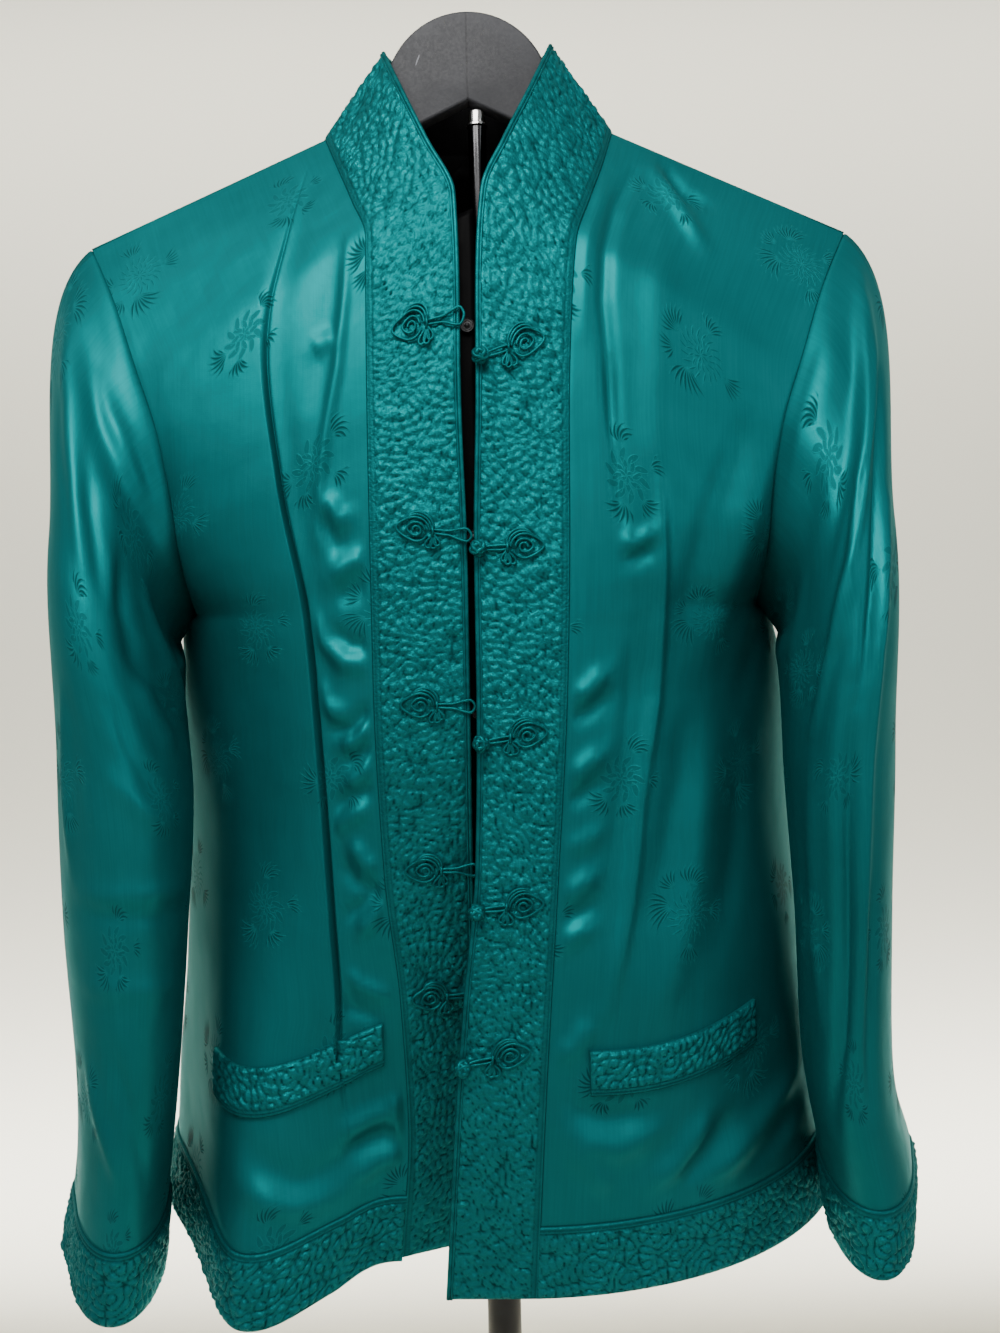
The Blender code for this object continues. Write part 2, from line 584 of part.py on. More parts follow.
def sleeve_point(side, around, station):
    """The outer face of a sleeve or of the cuff below it."""
    around, station = np.broadcast_arrays(np.asarray(around, float), np.asarray(station, float))

    def surface(a, b):
        return sleeve_base(side, a, b)

    base = surface(around, station)
    safe = np.clip(station, 0.01, CUFF_EDGE_STATION - 0.01)
    normal = np.cross(
        surface(around + 1e-3, safe) - surface(around - 1e-3, safe),
        surface(around, safe + 1e-3) - surface(around, safe - 1e-3),
    )
    normal *= side / np.maximum(np.linalg.norm(normal, axis=-1, keepdims=True), 1e-12)
    fixed = ease(0.0, 0.5, station)
    height = sleeve_folds(side, around, base[..., 2]) * fixed
    flare = ease(CUFF_SEAM_STATION - 1.0, CUFF_EDGE_STATION, station)
    away = np.abs(np.mod(around - SLIT_AROUND + 0.5, 1.0) - 0.5)
    height = height + SLIT_FLARE * flare * bell(away, SLIT_FLARE_WIDTH)
    return base + normal * height[..., None]


def sleeve_out(side, around, station):
    """The direction that a sleeve's outer face looks."""
    here = sleeve_point(side, around, station)
    a = sleeve_point(side, around + 1e-3, station) - here
    b = sleeve_point(side, around, station + 1e-3) - here
    normal = np.cross(a, b)
    normal *= side / np.maximum(np.linalg.norm(normal, axis=-1, keepdims=True), 1e-12)
    return normal


# ---------------------------------------------------------------- building
def material(name, colour, roughness, metallic=0.0):
    made = bpy.data.materials.new(name)
    made.use_nodes = True
    shader = made.node_tree.nodes["Principled BSDF"]
    shader.inputs["Base Color"].default_value = (*colour, 1.0)
    shader.inputs["Roughness"].default_value = roughness
    shader.inputs["Metallic"].default_value = metallic
    return made


def add_object(name, data, finish, parts):
    made = bpy.data.objects.new(name, data)
    parts.objects.link(made)
    data.materials.append(finish)
    return made


def spread(count, low=0.0, high=1.0):
    return np.linspace(low, high, count + 1)


def even(path, low, high, count):
    """count + 1 keys from low to high that divide a path of one key into equal lengths."""
    keys = np.linspace(low, high, 400)
    places = path(keys)
    lengths = np.linalg.norm(np.diff(places, axis=0), axis=1)
    run = np.concatenate(([0.0], np.cumsum(lengths)))
    return np.interp(np.linspace(0, run[-1], count + 1), run, keys)


def panel_line(surface, side, level):
    """A line down a panel, along which its grid rows are evenly spaced."""
    return surface(side, np.full_like(level, 0.4), level)


def grid(bm, places):
    """A grid of faces moved onto a block of points [down][across]; returns its vertices."""
    rows, columns = places.shape[0] - 1, places.shape[1] - 1
    made = bmesh.ops.create_grid(bm, x_segments=columns, y_segments=rows, size=1.0)["verts"]
    verts = [[None] * (columns + 1) for _ in range(rows + 1)]
    for vert in made:
        i = round((vert.co.y + 1) / 2 * rows)
        j = round((vert.co.x + 1) / 2 * columns)
        verts[i][j] = vert
    for i in range(rows + 1):
        for j in range(columns + 1):
            verts[i][j].co = places[i, j]
    return verts


def shell(name, blocks, wall, finish, parts, flip=False, join=0.0):
    """Open grids, joined where they meet, with a wall that grows inwards."""
    bm = bmesh.new()
    for places in blocks:
        grid(bm, places)
    if join:
        bmesh.ops.remove_doubles(bm, verts=bm.verts, dist=join)
    if flip:
        bmesh.ops.reverse_faces(bm, faces=bm.faces)
    mesh = bpy.data.meshes.new(name)
    bm.to_mesh(mesh)
    bm.free()
    made = add_object(name, mesh, finish, parts)
    solid = made.modifiers.new("Wall", "SOLIDIFY")
    solid.thickness = wall
    solid.offset = -1.0
    made.data.shade_smooth()
    return made


def quilted(name, base, normal, finish, parts, seed, inner_columns=1, under=QUILT_WALL):
    """A quilted strip: puffed outer points over a plain inside. base is [along][across]."""
    rows, columns = base.shape[0] - 1, base.shape[1] - 1
    puffs = np.random.default_rng(seed).uniform(0.15, 1.0, base.shape[:2])
    puffs[0, :] = puffs[-1, :] = 0.0
    puffs[:, 0] = puffs[:, -1] = 0.0
    outer = base + normal * (QUILT_RISE + QUILT_PUFF * puffs)[..., None]
    plain = (base - normal * under)[:, :: columns // inner_columns]
    bm = bmesh.new()
    top = grid(bm, outer)
    low = grid(bm, plain)
    bmesh.ops.reverse_faces(bm, faces=[f for f in bm.faces if f.verts[0] in set(sum(low, []))])
    for i in range(rows):
        bm.faces.new((top[i + 1][0], top[i][0], low[i][0], low[i + 1][0]))
        bm.faces.new((top[i][-1], top[i + 1][-1], low[i + 1][-1], low[i][-1]))
    bm.faces.new(top[0] + low[0][::-1])
    bm.faces.new(top[-1][::-1] + low[-1])
    bmesh.ops.recalc_face_normals(bm, faces=bm.faces)
    mesh = bpy.data.meshes.new(name)
    bm.to_mesh(mesh)
    bm.free()
    return add_object(name, mesh, finish, parts)


def cord(name, path, radius, finish, parts):
    """A four-sided cord along a list of points."""
    data = bpy.data.curves.new(name, "CURVE")
    data.dimensions = "3D"
    data.bevel_depth = radius
    data.bevel_resolution = 0
    data.use_fill_caps = True
    spline = data.splines.new("POLY")
    spline.points.add(len(path) - 1)
    for point, place in zip(spline.points, path):
        point.co = (*place, 1.0)
    return add_object(name, data, finish, parts)


def turned(name, profile, finish, parts, steps):
    """A round piece about its own Z from a (radius, height) profile, which runs top to bottom."""
    bm = bmesh.new()
    verts = [bm.verts.new((radius, 0.0, z)) for radius, z in profile]
    for a, b in zip(verts, verts[1:]):
        bm.edges.new((a, b))
    mesh = bpy.data.meshes.new(name)
    bm.to_mesh(mesh)
    bm.free()
    made = add_object(name, mesh, finish, parts)
    screw = made.modifiers.new("Turn", "SCREW")
    screw.steps = steps
    screw.render_steps = steps
    screw.use_merge_vertices = True
    screw.merge_threshold = 1e-5
    screw.use_smooth_shade = False
    return made


# ---------------------------------------------------------------- the jacket's pieces
def front_grid(side):
    """The two keys of a front's own grid and its points [down][across]."""
    across = np.concatenate((spread(4, SEAM_U, 0.16), spread(13, 0.16, 1 - SEAM_U)[1:]))
    middle = functools.partial(panel_line, front_base, side)
    levels = even(middle, SEAM_LEVEL, HEM_SEAM_ROW - HEM_SEAM_LEVEL, 24)
    u, level = np.meshgrid(across, levels)
    return across, levels, front_point(side, u, level)


def on_front_faces(side, u, level):
    """A place on the faces between a front's own grid points."""
    across, levels, places = front_grid(side)
    i = np.clip(np.searchsorted(levels, level) - 1, 0, len(levels) - 2)
    j = np.clip(np.searchsorted(across, u) - 1, 0, len(across) - 2)
    down = ((level - levels[i]) / (levels[i + 1] - levels[i]))[..., None]
    along = ((u - across[j]) / (across[j + 1] - across[j]))[..., None]
    upper = places[i, j] * (1 - along) + places[i, j + 1] * along
    lower = places[i + 1, j] * (1 - along) + places[i + 1, j + 1] * along
    return upper * (1 - down) + lower * down


def build_front(side, finish, parts):
    name = "front_left" if side > 0 else "front_right"
    places = front_grid(side)[2]
    return shell(name, [places], CLOTH_WALL, finish, parts, flip=side < 0)


def build_back(finish, parts):
    blocks = []
    middle = functools.partial(panel_line, back_base, 1)
    levels = np.concatenate((
        spread(3, SEAM_LEVEL, 2.0),
        even(middle, 2.0, HEM_SEAM_ROW - HEM_SEAM_LEVEL, 16)[1:],
    ))
    for side in (1, -1):
        u, level = np.meshgrid(spread(9, 0.0, 1 - SEAM_U), levels)
        u = np.where((u == 0.0) & (level < 1.999), SEAM_U, u)
        places = back_point(side, u, level)
        blocks.append(places if side < 0 else places[:, ::-1])
    return shell("back", blocks, CLOTH_WALL, finish, parts, flip=False, join=1e-5)


def build_lining(finish, parts):
    """The back of the lining, which shows inside the neck and through the open front."""
    blocks = []
    middle = functools.partial(panel_line, back_base, 1)
    levels = np.concatenate((
        spread(2, 0.25, 2.0),
        even(middle, 2.0, HEM_SEAM_ROW - 0.1, 9)[1:],
    ))
    for side in (1, -1):
        u, level = np.meshgrid(spread(6, 0.0, 0.96), levels)
        u = np.where((u == 0.0) & (level < 1.999), 0.012, u)

        def surface(a, b, side=side):
            return back_base(side, a, b)

        normal = outward(surface, np.clip(u, 0.002, 0.998), level, (JACKET_X, 0.0))
        hang = ease(0.0, 3.0, level) * LINING_GAP + CLOTH_WALL + LINING_NEAR
        places = surface(u, level) - normal * hang[..., None]
        blocks.append(places if side < 0 else places[:, ::-1])
    return shell("lining_back", blocks, LINING_WALL, finish, parts, join=3e-4)


def build_sleeve(side, finish, parts):
    name = "sleeve_left" if side > 0 else "sleeve_right"
    around = spread(18)
    stations = np.concatenate((spread(6, 0.0, 1.0), spread(11, 1.0, CUFF_SEAM_STATION - HEM_SEAM_LEVEL)[1:]))
    w, station = np.meshgrid(around, stations)
    under_arm = (0.5 - 0.5 * np.cos(2 * math.pi * around)) ** 2
    station[0] = SLEEVE_GAP[0] + SLEEVE_GAP[1] * under_arm
    places = sleeve_point(side, w, station)
    return shell(name, [places], CLOTH_WALL, finish, parts, flip=side > 0, join=1e-6)


def build_cuff(side, finish, parts):
    name = "cuff_left" if side > 0 else "cuff_right"
    around = spread(26, SLIT_AROUND + SLIT_SHARE, SLIT_AROUND + 1 - SLIT_SHARE)
    stations = spread(4, CUFF_SEAM_STATION + HEM_SEAM_LEVEL, CUFF_EDGE_STATION)
    station, w = np.meshgrid(stations, around)
    return quilted(
        name, sleeve_point(side, w, station), sleeve_out(side, w, station), finish, parts,
        seed=11 + side,
    )


def build_band(side, finish, parts):
    name = "band_left" if side > 0 else "band_right"
    low = BAND[side]["z"][0]
    middle = functools.partial(band_point, side, 0.6)
    heights = even(middle, low, NECK_SEAM_Z - EDGE_GAP, 56)
    across, z = np.meshgrid(spread(5, 0.006, 0.994), heights)
    return quilted(
        name, band_point(side, across, z), band_outward(side, across, z), finish, parts,
        seed=21 + side,
    )


def collar_outward(around, up):
    def surface(a, b):
        return collar_point(a, b)

    return outward(surface, around, up, (JACKET_X, 0.0))


def build_collar(finish, parts):
    around, up = np.meshgrid(spread(20, 0.014, 1.986), spread(5, 0.034, 0.994))
    around, up = around.T, up.T
    return quilted(
        "collar", collar_point(around, up), collar_outward(around, up), finish, parts, seed=31,
    )


def build_hem_fronts(side, finish, parts):
    name = "hem_left" if side > 0 else "hem_right"
    middle = functools.partial(front_point, side, level=HEM_SEAM_ROW + 0.5)
    path = even(middle, SEAM_U, 1 - SEAM_U / 2, 19)
    level, u = np.meshgrid(spread(4, HEM_SEAM_ROW + HEM_SEAM_LEVEL, HEM_ROW), path)
    return quilted(
        name, front_point(side, u, level), front_out(side, u, level), finish, parts, seed=41 + side,
    )


def front_out(side, u, level):
    def surface(a, b):
        return front_point(side, a, b)

    safe_level = np.clip(level, 0.01, HEM_ROW - 0.01)
    return outward(surface, np.clip(u, 0.002, 0.995), safe_level, (JACKET_X, 0.02))


def back_out(side, u, level):
    def surface(a, b):
        return back_point(side, a, b)

    safe_level = np.clip(level, 0.01, HEM_ROW - 0.01)
    return outward(surface, np.clip(u, 0.002, 0.995), safe_level, (JACKET_X, 0.0))


def build_hem_back(finish, parts):
    around = spread(38, SEAM_U / 2 - 1, 1 - SEAM_U / 2)
    level, u = np.meshgrid(spread(4, HEM_SEAM_ROW + HEM_SEAM_LEVEL, HEM_ROW), around)
    places = np.where((u >= 0)[..., None], back_point(1, abs(u), level), back_point(-1, abs(u), level))
    normal = np.where((u >= 0)[..., None], back_out(1, abs(u), level), back_out(-1, abs(u), level))
    return quilted("hem_back", places, normal, finish, parts, seed=51)


def welt_grid(side, along, up):
    """Points of a pocket welt's underside on its front, from the front's own surface."""
    welt = WELTS[side]
    across = welt["x"][0] + (welt["x"][1] - welt["x"][0]) * along
    low = welt["z"][0] + (welt["z"][1] - welt["z"][0]) * along - welt["sag"] * np.sin(math.pi * along)
    z = low + welt["height"] * up
    u, level = place_on_front(side, across, z)
    return on_front_faces(side, u, level), front_out(side, u, level)


def place_on_front(side, across, z):
    """The front's own coordinates for a distance from the centre line and a height."""
    u = np.full_like(across, 0.5)
    level = np.full_like(across, 9.5)
    for _ in range(14):
        here = front_base(side, u, level)
        right = front_base(side, u + 1e-3, level)
        below = front_base(side, u, level + 1e-3)
        miss_x = across - side * (here[..., 0] - JACKET_X)
        miss_z = z - here[..., 2]
        per_u = side * (right[..., 0] - here[..., 0]) / 1e-3
        per_level = (below[..., 2] - here[..., 2]) / 1e-3
        u = np.clip(u + miss_x / per_u, 0.01, 0.97)
        level = np.clip(level + miss_z / per_level, 7.0, 11.0)
    return u, level


def build_welt(side, finish, parts):
    name = "pocket_welt_left" if side > 0 else "pocket_welt_right"
    up, along = np.meshgrid(spread(3), spread(12))
    places, normal = welt_grid(side, along, up)
    lifted = places + normal * WELT_LIFT
    return quilted(name, lifted, normal, finish, parts, seed=61 + side, inner_columns=3, under=0.0012)


def build_underlap(finish, parts):
    """The narrow placket behind the right band, with its snaps."""
    heights = spread(16, UNDERLAP_LOW, UNDERLAP_TOP)
    across, z = np.meshgrid(spread(2), heights)
    edge = band_point(-1, np.ones_like(z), z)
    seam = band_point(-1, np.zeros_like(z), z)
    inwards = (edge - seam) / np.linalg.norm(edge - seam, axis=-1, keepdims=True)
    normal = band_outward(-1, np.full_like(z, 0.9), z)
    reach = UNDERLAP_REACH - (UNDERLAP_WIDTH) * across
    behind = QUILT_WALL + 0.0006 + 0.0034 * ease(0.0, 1.0, 1 - across)
    places = edge + inwards * reach[..., None] - normal * behind[..., None]
    return shell("underlap", [places], 0.0010, finish, parts, flip=True)


def build_snap(index, finish, parts):
    """A stud: a low disc with a small ball in its middle, square to the underlap."""
    profile = ((0.0, 0.0020), (0.0010, 0.0019), (0.0013, 0.0012), (SNAP_RADIUS, 0.0010),
               (SNAP_RADIUS, 0.0005), (0.0, 0.0005))
    made = turned("snap_%d" % (index + 1), profile, finish, parts, steps=8)
    z = np.array(FROGS["z_right"][index] - SNAP_DROP)
    place = on_band(-1, -SNAP_INSET, z, -QUILT_WALL - UNDERLAP_BEHIND)
    look = Vector(band_outward(-1, np.array(0.9), z))
    made.matrix_world = Matrix.Translation(place) @ look.to_track_quat("Z", "Y").to_matrix().to_4x4()
    return made


def frog_path(reach):
    """One cord laid in a plane as (distance from the free edge, height), in metres.

    It winds out from the flower's middle, runs to the loop or knot, turns back and ends in
    a fan of finger loops below the flower.
    """
    path = []
    turns = spread(int(9 * SPIRAL_TURNS))
    for share in turns:
        angle = math.pi - 2 * math.pi * SPIRAL_TURNS * (1 - share)
        radius = SPIRAL_START + (SPIRAL_END - SPIRAL_START) * share
        point = 1 + 0.45 * max(0.0, math.cos(angle)) ** 3 * share
        path.append((FROG_CENTRE + radius * point * math.cos(angle), 0.0022 + radius * math.sin(angle)))
    waist = FROG_CENTRE - SPIRAL_END - 0.0012
    path[-1] = (waist + 0.0006, 0.0018)
    path.append((waist - 0.0035, 0.0014))
    if reach < 0:
        path += [(0.0045, 0.0014), (-0.0005, 0.0022), (reach + 0.0012, 0.0020), (reach, 0.0)]
        path += [(reach + 0.0012, -0.0020), (-0.0005, -0.0022), (0.0045, -0.0012)]
    else:
        path += [(reach + 0.0016, 0.0014), (reach, 0.0004), (reach + 0.0016, -0.0010)]
    path.append((waist - 0.0030, -0.0012))
    for petal in range(2 * PETALS):
        angle = math.radians(196 + 14.5 * petal)
        radius = PETAL_TIP if petal % 2 else PETAL_VALLEY
        if petal % 2:
            spread_angle = math.radians(3.6)
            pair = ((angle - spread_angle, radius), (angle + spread_angle, radius))
        else:
            pair = ((angle, radius),)
        for at_angle, at_radius in pair:
            path.append((
                FROG_CENTRE + at_radius * math.cos(at_angle), 0.0010 + at_radius * math.sin(at_angle),
            ))
    return path


def build_frog(side, index, finish, parts):
    z_flower = FROGS["z_left" if side > 0 else "z_right"][index]
    z_end = FROGS["z_knot" if side > 0 else "z_loop"][index]
    reach = KNOT_CORD_END if side > 0 else LOOP_REACH
    places = []
    for inset, height in frog_path(reach):
        slope = (z_flower - z_end) / FROG_CENTRE
        z = np.array(z_end + slope * inset + height)
        places.append(on_band(side, inset, z, FROG_LIFT))
    name = "frog_knot_%d" if side > 0 else "frog_loop_%d"
    return cord(name % (index + 1), places, FROG_CORD_RADIUS, finish, parts)


def on_band(side, inset, z, lift):
    """A place over a band, an inset from its free edge, lifted off its base surface."""
    edge = band_point(side, np.array(1.0), z)
    seam = band_point(side, np.array(0.0), z)
    width = np.linalg.norm(edge - seam)
    normal = band_outward(side, np.array(0.6), z)
    return edge + (seam - edge) / width * inset + normal * lift


def build_knot(index, finish, parts):
    z = np.array(FROGS["z_knot"][index])
    place = on_band(1, 0.0003, z, PIPING_RADIUS + KNOT_RADIUS + 0.0008)
    bm = bmesh.new()
    bmesh.ops.create_icosphere(bm, subdivisions=1, radius=KNOT_RADIUS)
    bmesh.ops.translate(bm, verts=bm.verts, vec=place)
    mesh = bpy.data.meshes.new("knot_button")
    bm.to_mesh(mesh)
    bm.free()
    return add_object("knot_button_%d" % (index + 1), mesh, finish, parts)


def build_piping(side, finish, parts):
    """The corded edge of a band, from the hem to the collar's side seam."""
    name = "piping_left" if side > 0 else "piping_right"
    low = BAND[side]["z"][0]
    heights = np.concatenate((np.linspace(low, 1.25, 15), np.linspace(1.25, NECK_SEAM_Z, 15)[1:]))
    out = PIPING_RADIUS + EDGE_GAP
    places = [on_band(side, -out, z, -0.0002) for z in heights]
    places[-1] = places[-1] * 0.97 + places[-2] * 0.03
    return cord(name, places, PIPING_RADIUS, finish, parts)


def build_collar_piping(finish, parts):
    around = spread(14, 0.02, 1.98)
    edge = collar_point(around, np.ones_like(around))
    seam = collar_point(around, np.zeros_like(around))
    upward = (edge - seam) / np.linalg.norm(edge - seam, axis=-1, keepdims=True)
    normal = collar_outward(around, np.full_like(around, 0.99))
    places = edge + upward * (PIPING_RADIUS + EDGE_GAP) - normal * 0.0002
    return cord("piping_collar", places, PIPING_RADIUS, finish, parts)


# ---------------------------------------------------------------- the stand
def board_outline():
    """The hanger's outline in its own plane, anticlockwise from the tip of the wearer's left arm."""
    outline = []
    tip_top = ARM_ROOT_Z - (ARM_REACH - ARM_ROOT_X) * ARM_SLOPE
    root_low = (ARM_ROOT_X, ARM_ROOT_Z - ARM_HEIGHT)
    start = math.asin((ARM_ROOT_Z + 0.010 - BOARD_Z) / BOARD_RADIUS)
    for side in (1, -1):
        half = [(side * ARM_REACH, tip_top), (side * ARM_ROOT_X, ARM_ROOT_Z)]
        for angle in np.linspace(start, math.pi / 2, 9):
            across, up = BOARD_RADIUS * math.cos(angle), BOARD_RADIUS * math.sin(angle)
            half.append((side * across, BOARD_Z + up))
        outline += half if side > 0 else half[::-1][1:]
    tip_low = tip_top - ARM_HEIGHT
    outline += [(-ARM_REACH, tip_low), (-root_low[0], root_low[1]), (0.0, BOARD_APEX_Z), root_low]
    outline.append((ARM_REACH, tip_low))
    return outline


def build_board(finish, parts):
    data = bpy.data.curves.new("hanger_board", "CURVE")
    data.dimensions = "2D"
    data.fill_mode = "BOTH"
    data.extrude = BOARD_THICKNESS / 2
    outline = board_outline()
    spline = data.splines.new("POLY")
    spline.points.add(len(outline) - 1)
    for point, (x, z) in zip(spline.points, outline):
        point.co = (x, z, 0.0, 1.0)
    spline.use_cyclic_u = True
    made = add_object("hanger_board", data, finish, parts)
    made.rotation_euler = (math.radians(90), 0, 0)
    made.location = (BOARD_X, 0.0, 0.0)
    return made


def build_stand(finishes, parts):
    build_board(finishes["board"], parts)
    cap_low = POLE_TOP_Z - CAP_HEIGHT / 2
    cap_neck = CAP_RADIUS - 0.0011
    turned("pole_cap", (
        (0.0, cap_low + CAP_HEIGHT), (0.0030, cap_low + CAP_HEIGHT - 0.0004),
        (cap_neck, cap_low + 0.8 * CAP_HEIGHT), (cap_neck, cap_low + 0.0017),
        (CAP_RADIUS, cap_low + 0.0012), (CAP_RADIUS, cap_low), (0.0, cap_low),
    ), finishes["chrome"], parts, steps=16)
    clamp_top = POLE_JOIN_Z + CLAMP_HEIGHT / 2
    clamp_low = POLE_JOIN_Z - CLAMP_HEIGHT / 2
    turned("upper_pole", (
        (0.0, cap_low - FIT_GAP), (UPPER_POLE_RADIUS, cap_low - FIT_GAP),
        (UPPER_POLE_RADIUS, clamp_top + FIT_GAP), (0.0, clamp_top + FIT_GAP),
    ), finishes["chrome"], parts, steps=16)
    turned("pole_clamp", (
        (0.0, clamp_top), (LOWER_POLE_RADIUS, clamp_top), (CLAMP_RADIUS, clamp_top - 0.010),
        (CLAMP_RADIUS, clamp_low), (0.0, clamp_low),
    ), finishes["black"], parts, steps=16)
    hub_top = BASE_HEIGHT + HUB_HEIGHT
    turned("lower_pole", (
        (0.0, clamp_low - FIT_GAP), (LOWER_POLE_RADIUS, clamp_low - FIT_GAP),
        (LOWER_POLE_RADIUS, hub_top + FIT_GAP), (0.0, hub_top + FIT_GAP),
    ), finishes["black"], parts, steps=16)
    turned("base", (
        (0.0, hub_top), (HUB_RADIUS, hub_top), (HUB_RADIUS + 0.001, BASE_HEIGHT + 0.008),
        (HUB_RADIUS + 0.009, BASE_HEIGHT + 0.002), (BASE_RADIUS - 0.004, BASE_HEIGHT),
        (BASE_RADIUS, BASE_HEIGHT - 0.004), (BASE_RADIUS, 0.0), (0.0, 0.0),
    ), finishes["black"], parts, steps=24)


def main():
    for old in list(bpy.data.objects):
        bpy.data.objects.remove(old, do_unlink=True)
    parts = bpy.data.collections.new("tang_jacket")
    bpy.context.scene.collection.children.link(parts)
    finishes = {
        "satin": material("emerald satin", (0.0, 0.17, 0.15), 0.35),
        "quilt": material("quilted satin", (0.0, 0.15, 0.13), 0.45),
        "cord": material("satin cord", (0.0, 0.12, 0.11), 0.4),
        "lining": material("black lining", (0.008, 0.008, 0.009), 0.4),
        "snap": material("black snap", (0.02, 0.02, 0.02), 0.3, 0.6),
        "board": material("grey board", (0.06, 0.06, 0.07), 0.5),
        "chrome": material("chrome", (0.75, 0.75, 0.76), 0.12, 1.0),
        "black": material("black paint", (0.012, 0.012, 0.013), 0.35),
    }
    for side in (1, -1):
        build_front(side, finishes["satin"], parts)
        build_sleeve(side, finishes["satin"], parts)
        build_cuff(side, finishes["quilt"], parts)
        build_band(side, finishes["quilt"], parts)
        build_hem_fronts(side, finishes["quilt"], parts)
        build_welt(side, finishes["quilt"], parts)
        build_piping(side, finishes["cord"], parts)
    build_back(finishes["satin"], parts)
    build_hem_back(finishes["quilt"], parts)
    build_collar(finishes["quilt"], parts)
    build_collar_piping(finishes["cord"], parts)
    build_lining(finishes["lining"], parts)
    build_underlap(finishes["lining"], parts)
    for index in range(len(FROGS["z_left"])):
        build_frog(1, index, finishes["cord"], parts)
        build_frog(-1, index, finishes["cord"], parts)
        build_knot(index, finishes["cord"], parts)
        build_snap(index, finishes["snap"], parts)
    build_stand(finishes, parts)


main()
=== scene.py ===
"""A quilt-banded satin tang jacket on its garment stand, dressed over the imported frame.

World frame in metres: +Z up, the floor at Z = 0, the jacket's front facing -Y. Left and right are
the wearer's, so the wearer's left is at +X.
"""

import functools
import math
import bmesh
import bpy
import numpy as np
from mathutils import Matrix, Vector


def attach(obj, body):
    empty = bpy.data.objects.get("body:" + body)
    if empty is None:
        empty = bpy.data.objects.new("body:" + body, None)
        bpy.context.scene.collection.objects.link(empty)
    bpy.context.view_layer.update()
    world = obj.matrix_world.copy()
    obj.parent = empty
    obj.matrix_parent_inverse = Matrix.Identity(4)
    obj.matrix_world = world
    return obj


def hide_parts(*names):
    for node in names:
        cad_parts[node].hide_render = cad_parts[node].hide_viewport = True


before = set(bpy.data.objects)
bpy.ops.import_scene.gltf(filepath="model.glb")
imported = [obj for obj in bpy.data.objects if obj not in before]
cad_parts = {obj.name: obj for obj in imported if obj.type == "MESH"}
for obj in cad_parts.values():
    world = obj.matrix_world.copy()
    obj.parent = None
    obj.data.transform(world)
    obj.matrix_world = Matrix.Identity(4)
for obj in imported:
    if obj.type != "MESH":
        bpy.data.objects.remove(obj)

bl_info = {
    "name": "Tang Jacket",
    "version": (1, 0, 0),
    "blender": (4, 5, 0),
    "location": "View3D > Sidebar > Tang Jacket",
    "description": "Builds a satin jacquard tang jacket with quilted bands on a garment stand",
    "category": "Add Mesh",
}

# ---------------------------------------------------------------- driving dimensions, metres
JACKET_X = -0.0065  # the jacket's own centre line, a little to one side of the pole
FRONT_MIDDLE = (JACKET_X, 0.02)  # lines (x, y) inside the jacket that its cloth looks away from
BACK_MIDDLE = (JACKET_X, 0.0)
BAND_MIDDLE = (JACKET_X, 0.03)
QUILT_WALL = 0.0012  # the plain inner half of a quilted band
WELT_WALL = 0.0016  # the same half of a pocket welt, which is backed with satin
QUILT_RISE = 0.0007  # the wadding that lifts the band above the shell
LINING_WALL = 0.0006
LINING_NEAR = 0.0015  # from the shell to the lining, at the neck
LINING_GAP = 0.0080  # the lining hangs free of the back's folds
PIPING_RADIUS = 0.0012
FROG_LIFT = 0.0028  # cord centre above the band's base surface
KNOT_RADIUS = 0.0044
WELT_LIFT = 0.0018  # a welt's base surface above the front
SNAP_RADIUS = 0.0038
SNAP_PAST = 0.0050  # a snap's centre stands this far past the right band's free edge
SNAP_DROP = 0.0040  # and this far below its frog
EDGE_GAP = 0.0001  # a band stops this far short of the neck seam's height
EDGE_LAP = 0.0006  # how far a corded edge laps over the band it is sewn to
QUILT_WAVES = 13  # plane waves that add up to the wandering stitch lines
QUILT_MARGIN = 0.0036  # a flat strip along the seam for the twin stitch lines
QUILT_STEP = 0.0009  # spacing of the quilted grid
SEAM_DIP = 0.00025  # the cloth rolls in this deep where it is sewn
SEAM_ROLL = 0.0018  # over this width
PIPING_INNER = 0.0009  # the finer cord lies this far inside the free edge
FROG_CORD_RADIUS = 0.00068
KNOT_CORD_RADIUS = 0.0011
PIPING_FINER = 0.55  # of the outer cord's radius
NAPE_ROW = 2.0  # row numbers in FRONT_ROWS and BACK_ROWS
HEM_SEAM_ROW = 11
HEM_ROW = 12
UNDERARM_ROW = 6
CENTRE_SHARE = 0.08  # the back looks straight backwards at its centre line, over this share
TOP_LEVEL = 0.004  # panels start this part of a row below the shoulder seam
HEM_SEAM_LEVEL = 0.012  # panels and quilted strips meet this part of a row past their seam
FRONT_SPAN = (-0.003, 0.9995)  # a front, from just under the band to just short of the side seam
BACK_SPAN = (0.0, 0.9995)  # half of the back, from the centre line
FRONT_GRID = (215, 116)  # rows and columns of the visible cloth
BACK_GRID = (190, 76)
BACK_TOP_ROWS = 20  # more rows of it, between the shoulder seam and the nape
SLEEVE_GRID = (190, 113)
LINING_GRID = (60, 30)
NEAR = 1e-3  # a small step along a surface, to find which way it looks
EASE_FROM_BAND = 0.10  # folds die out towards the seams, over these shares of a row
EASE_TO_SIDE = (0.80, 0.98)

STRIPS = {  # about how long and how wide each quilted strip is, which sets the steps of its grid
    "band": (0.52, 0.036), "collar": (0.30, 0.052), "cuff": (0.31, 0.034), "hem_front": (0.24, 0.036),
    "hem_back": (0.47, 0.036), "welt": (0.098, 0.023),
}

NECK_SEAM_Z = 1.4035
HEM_Z = 0.797
NECK_BACK_Y = 0.058
NECK_BACK_Z = 1.408
COLLAR_TOP_BACK_Y = 0.052
COLLAR_TOP_BACK_Z = 1.458

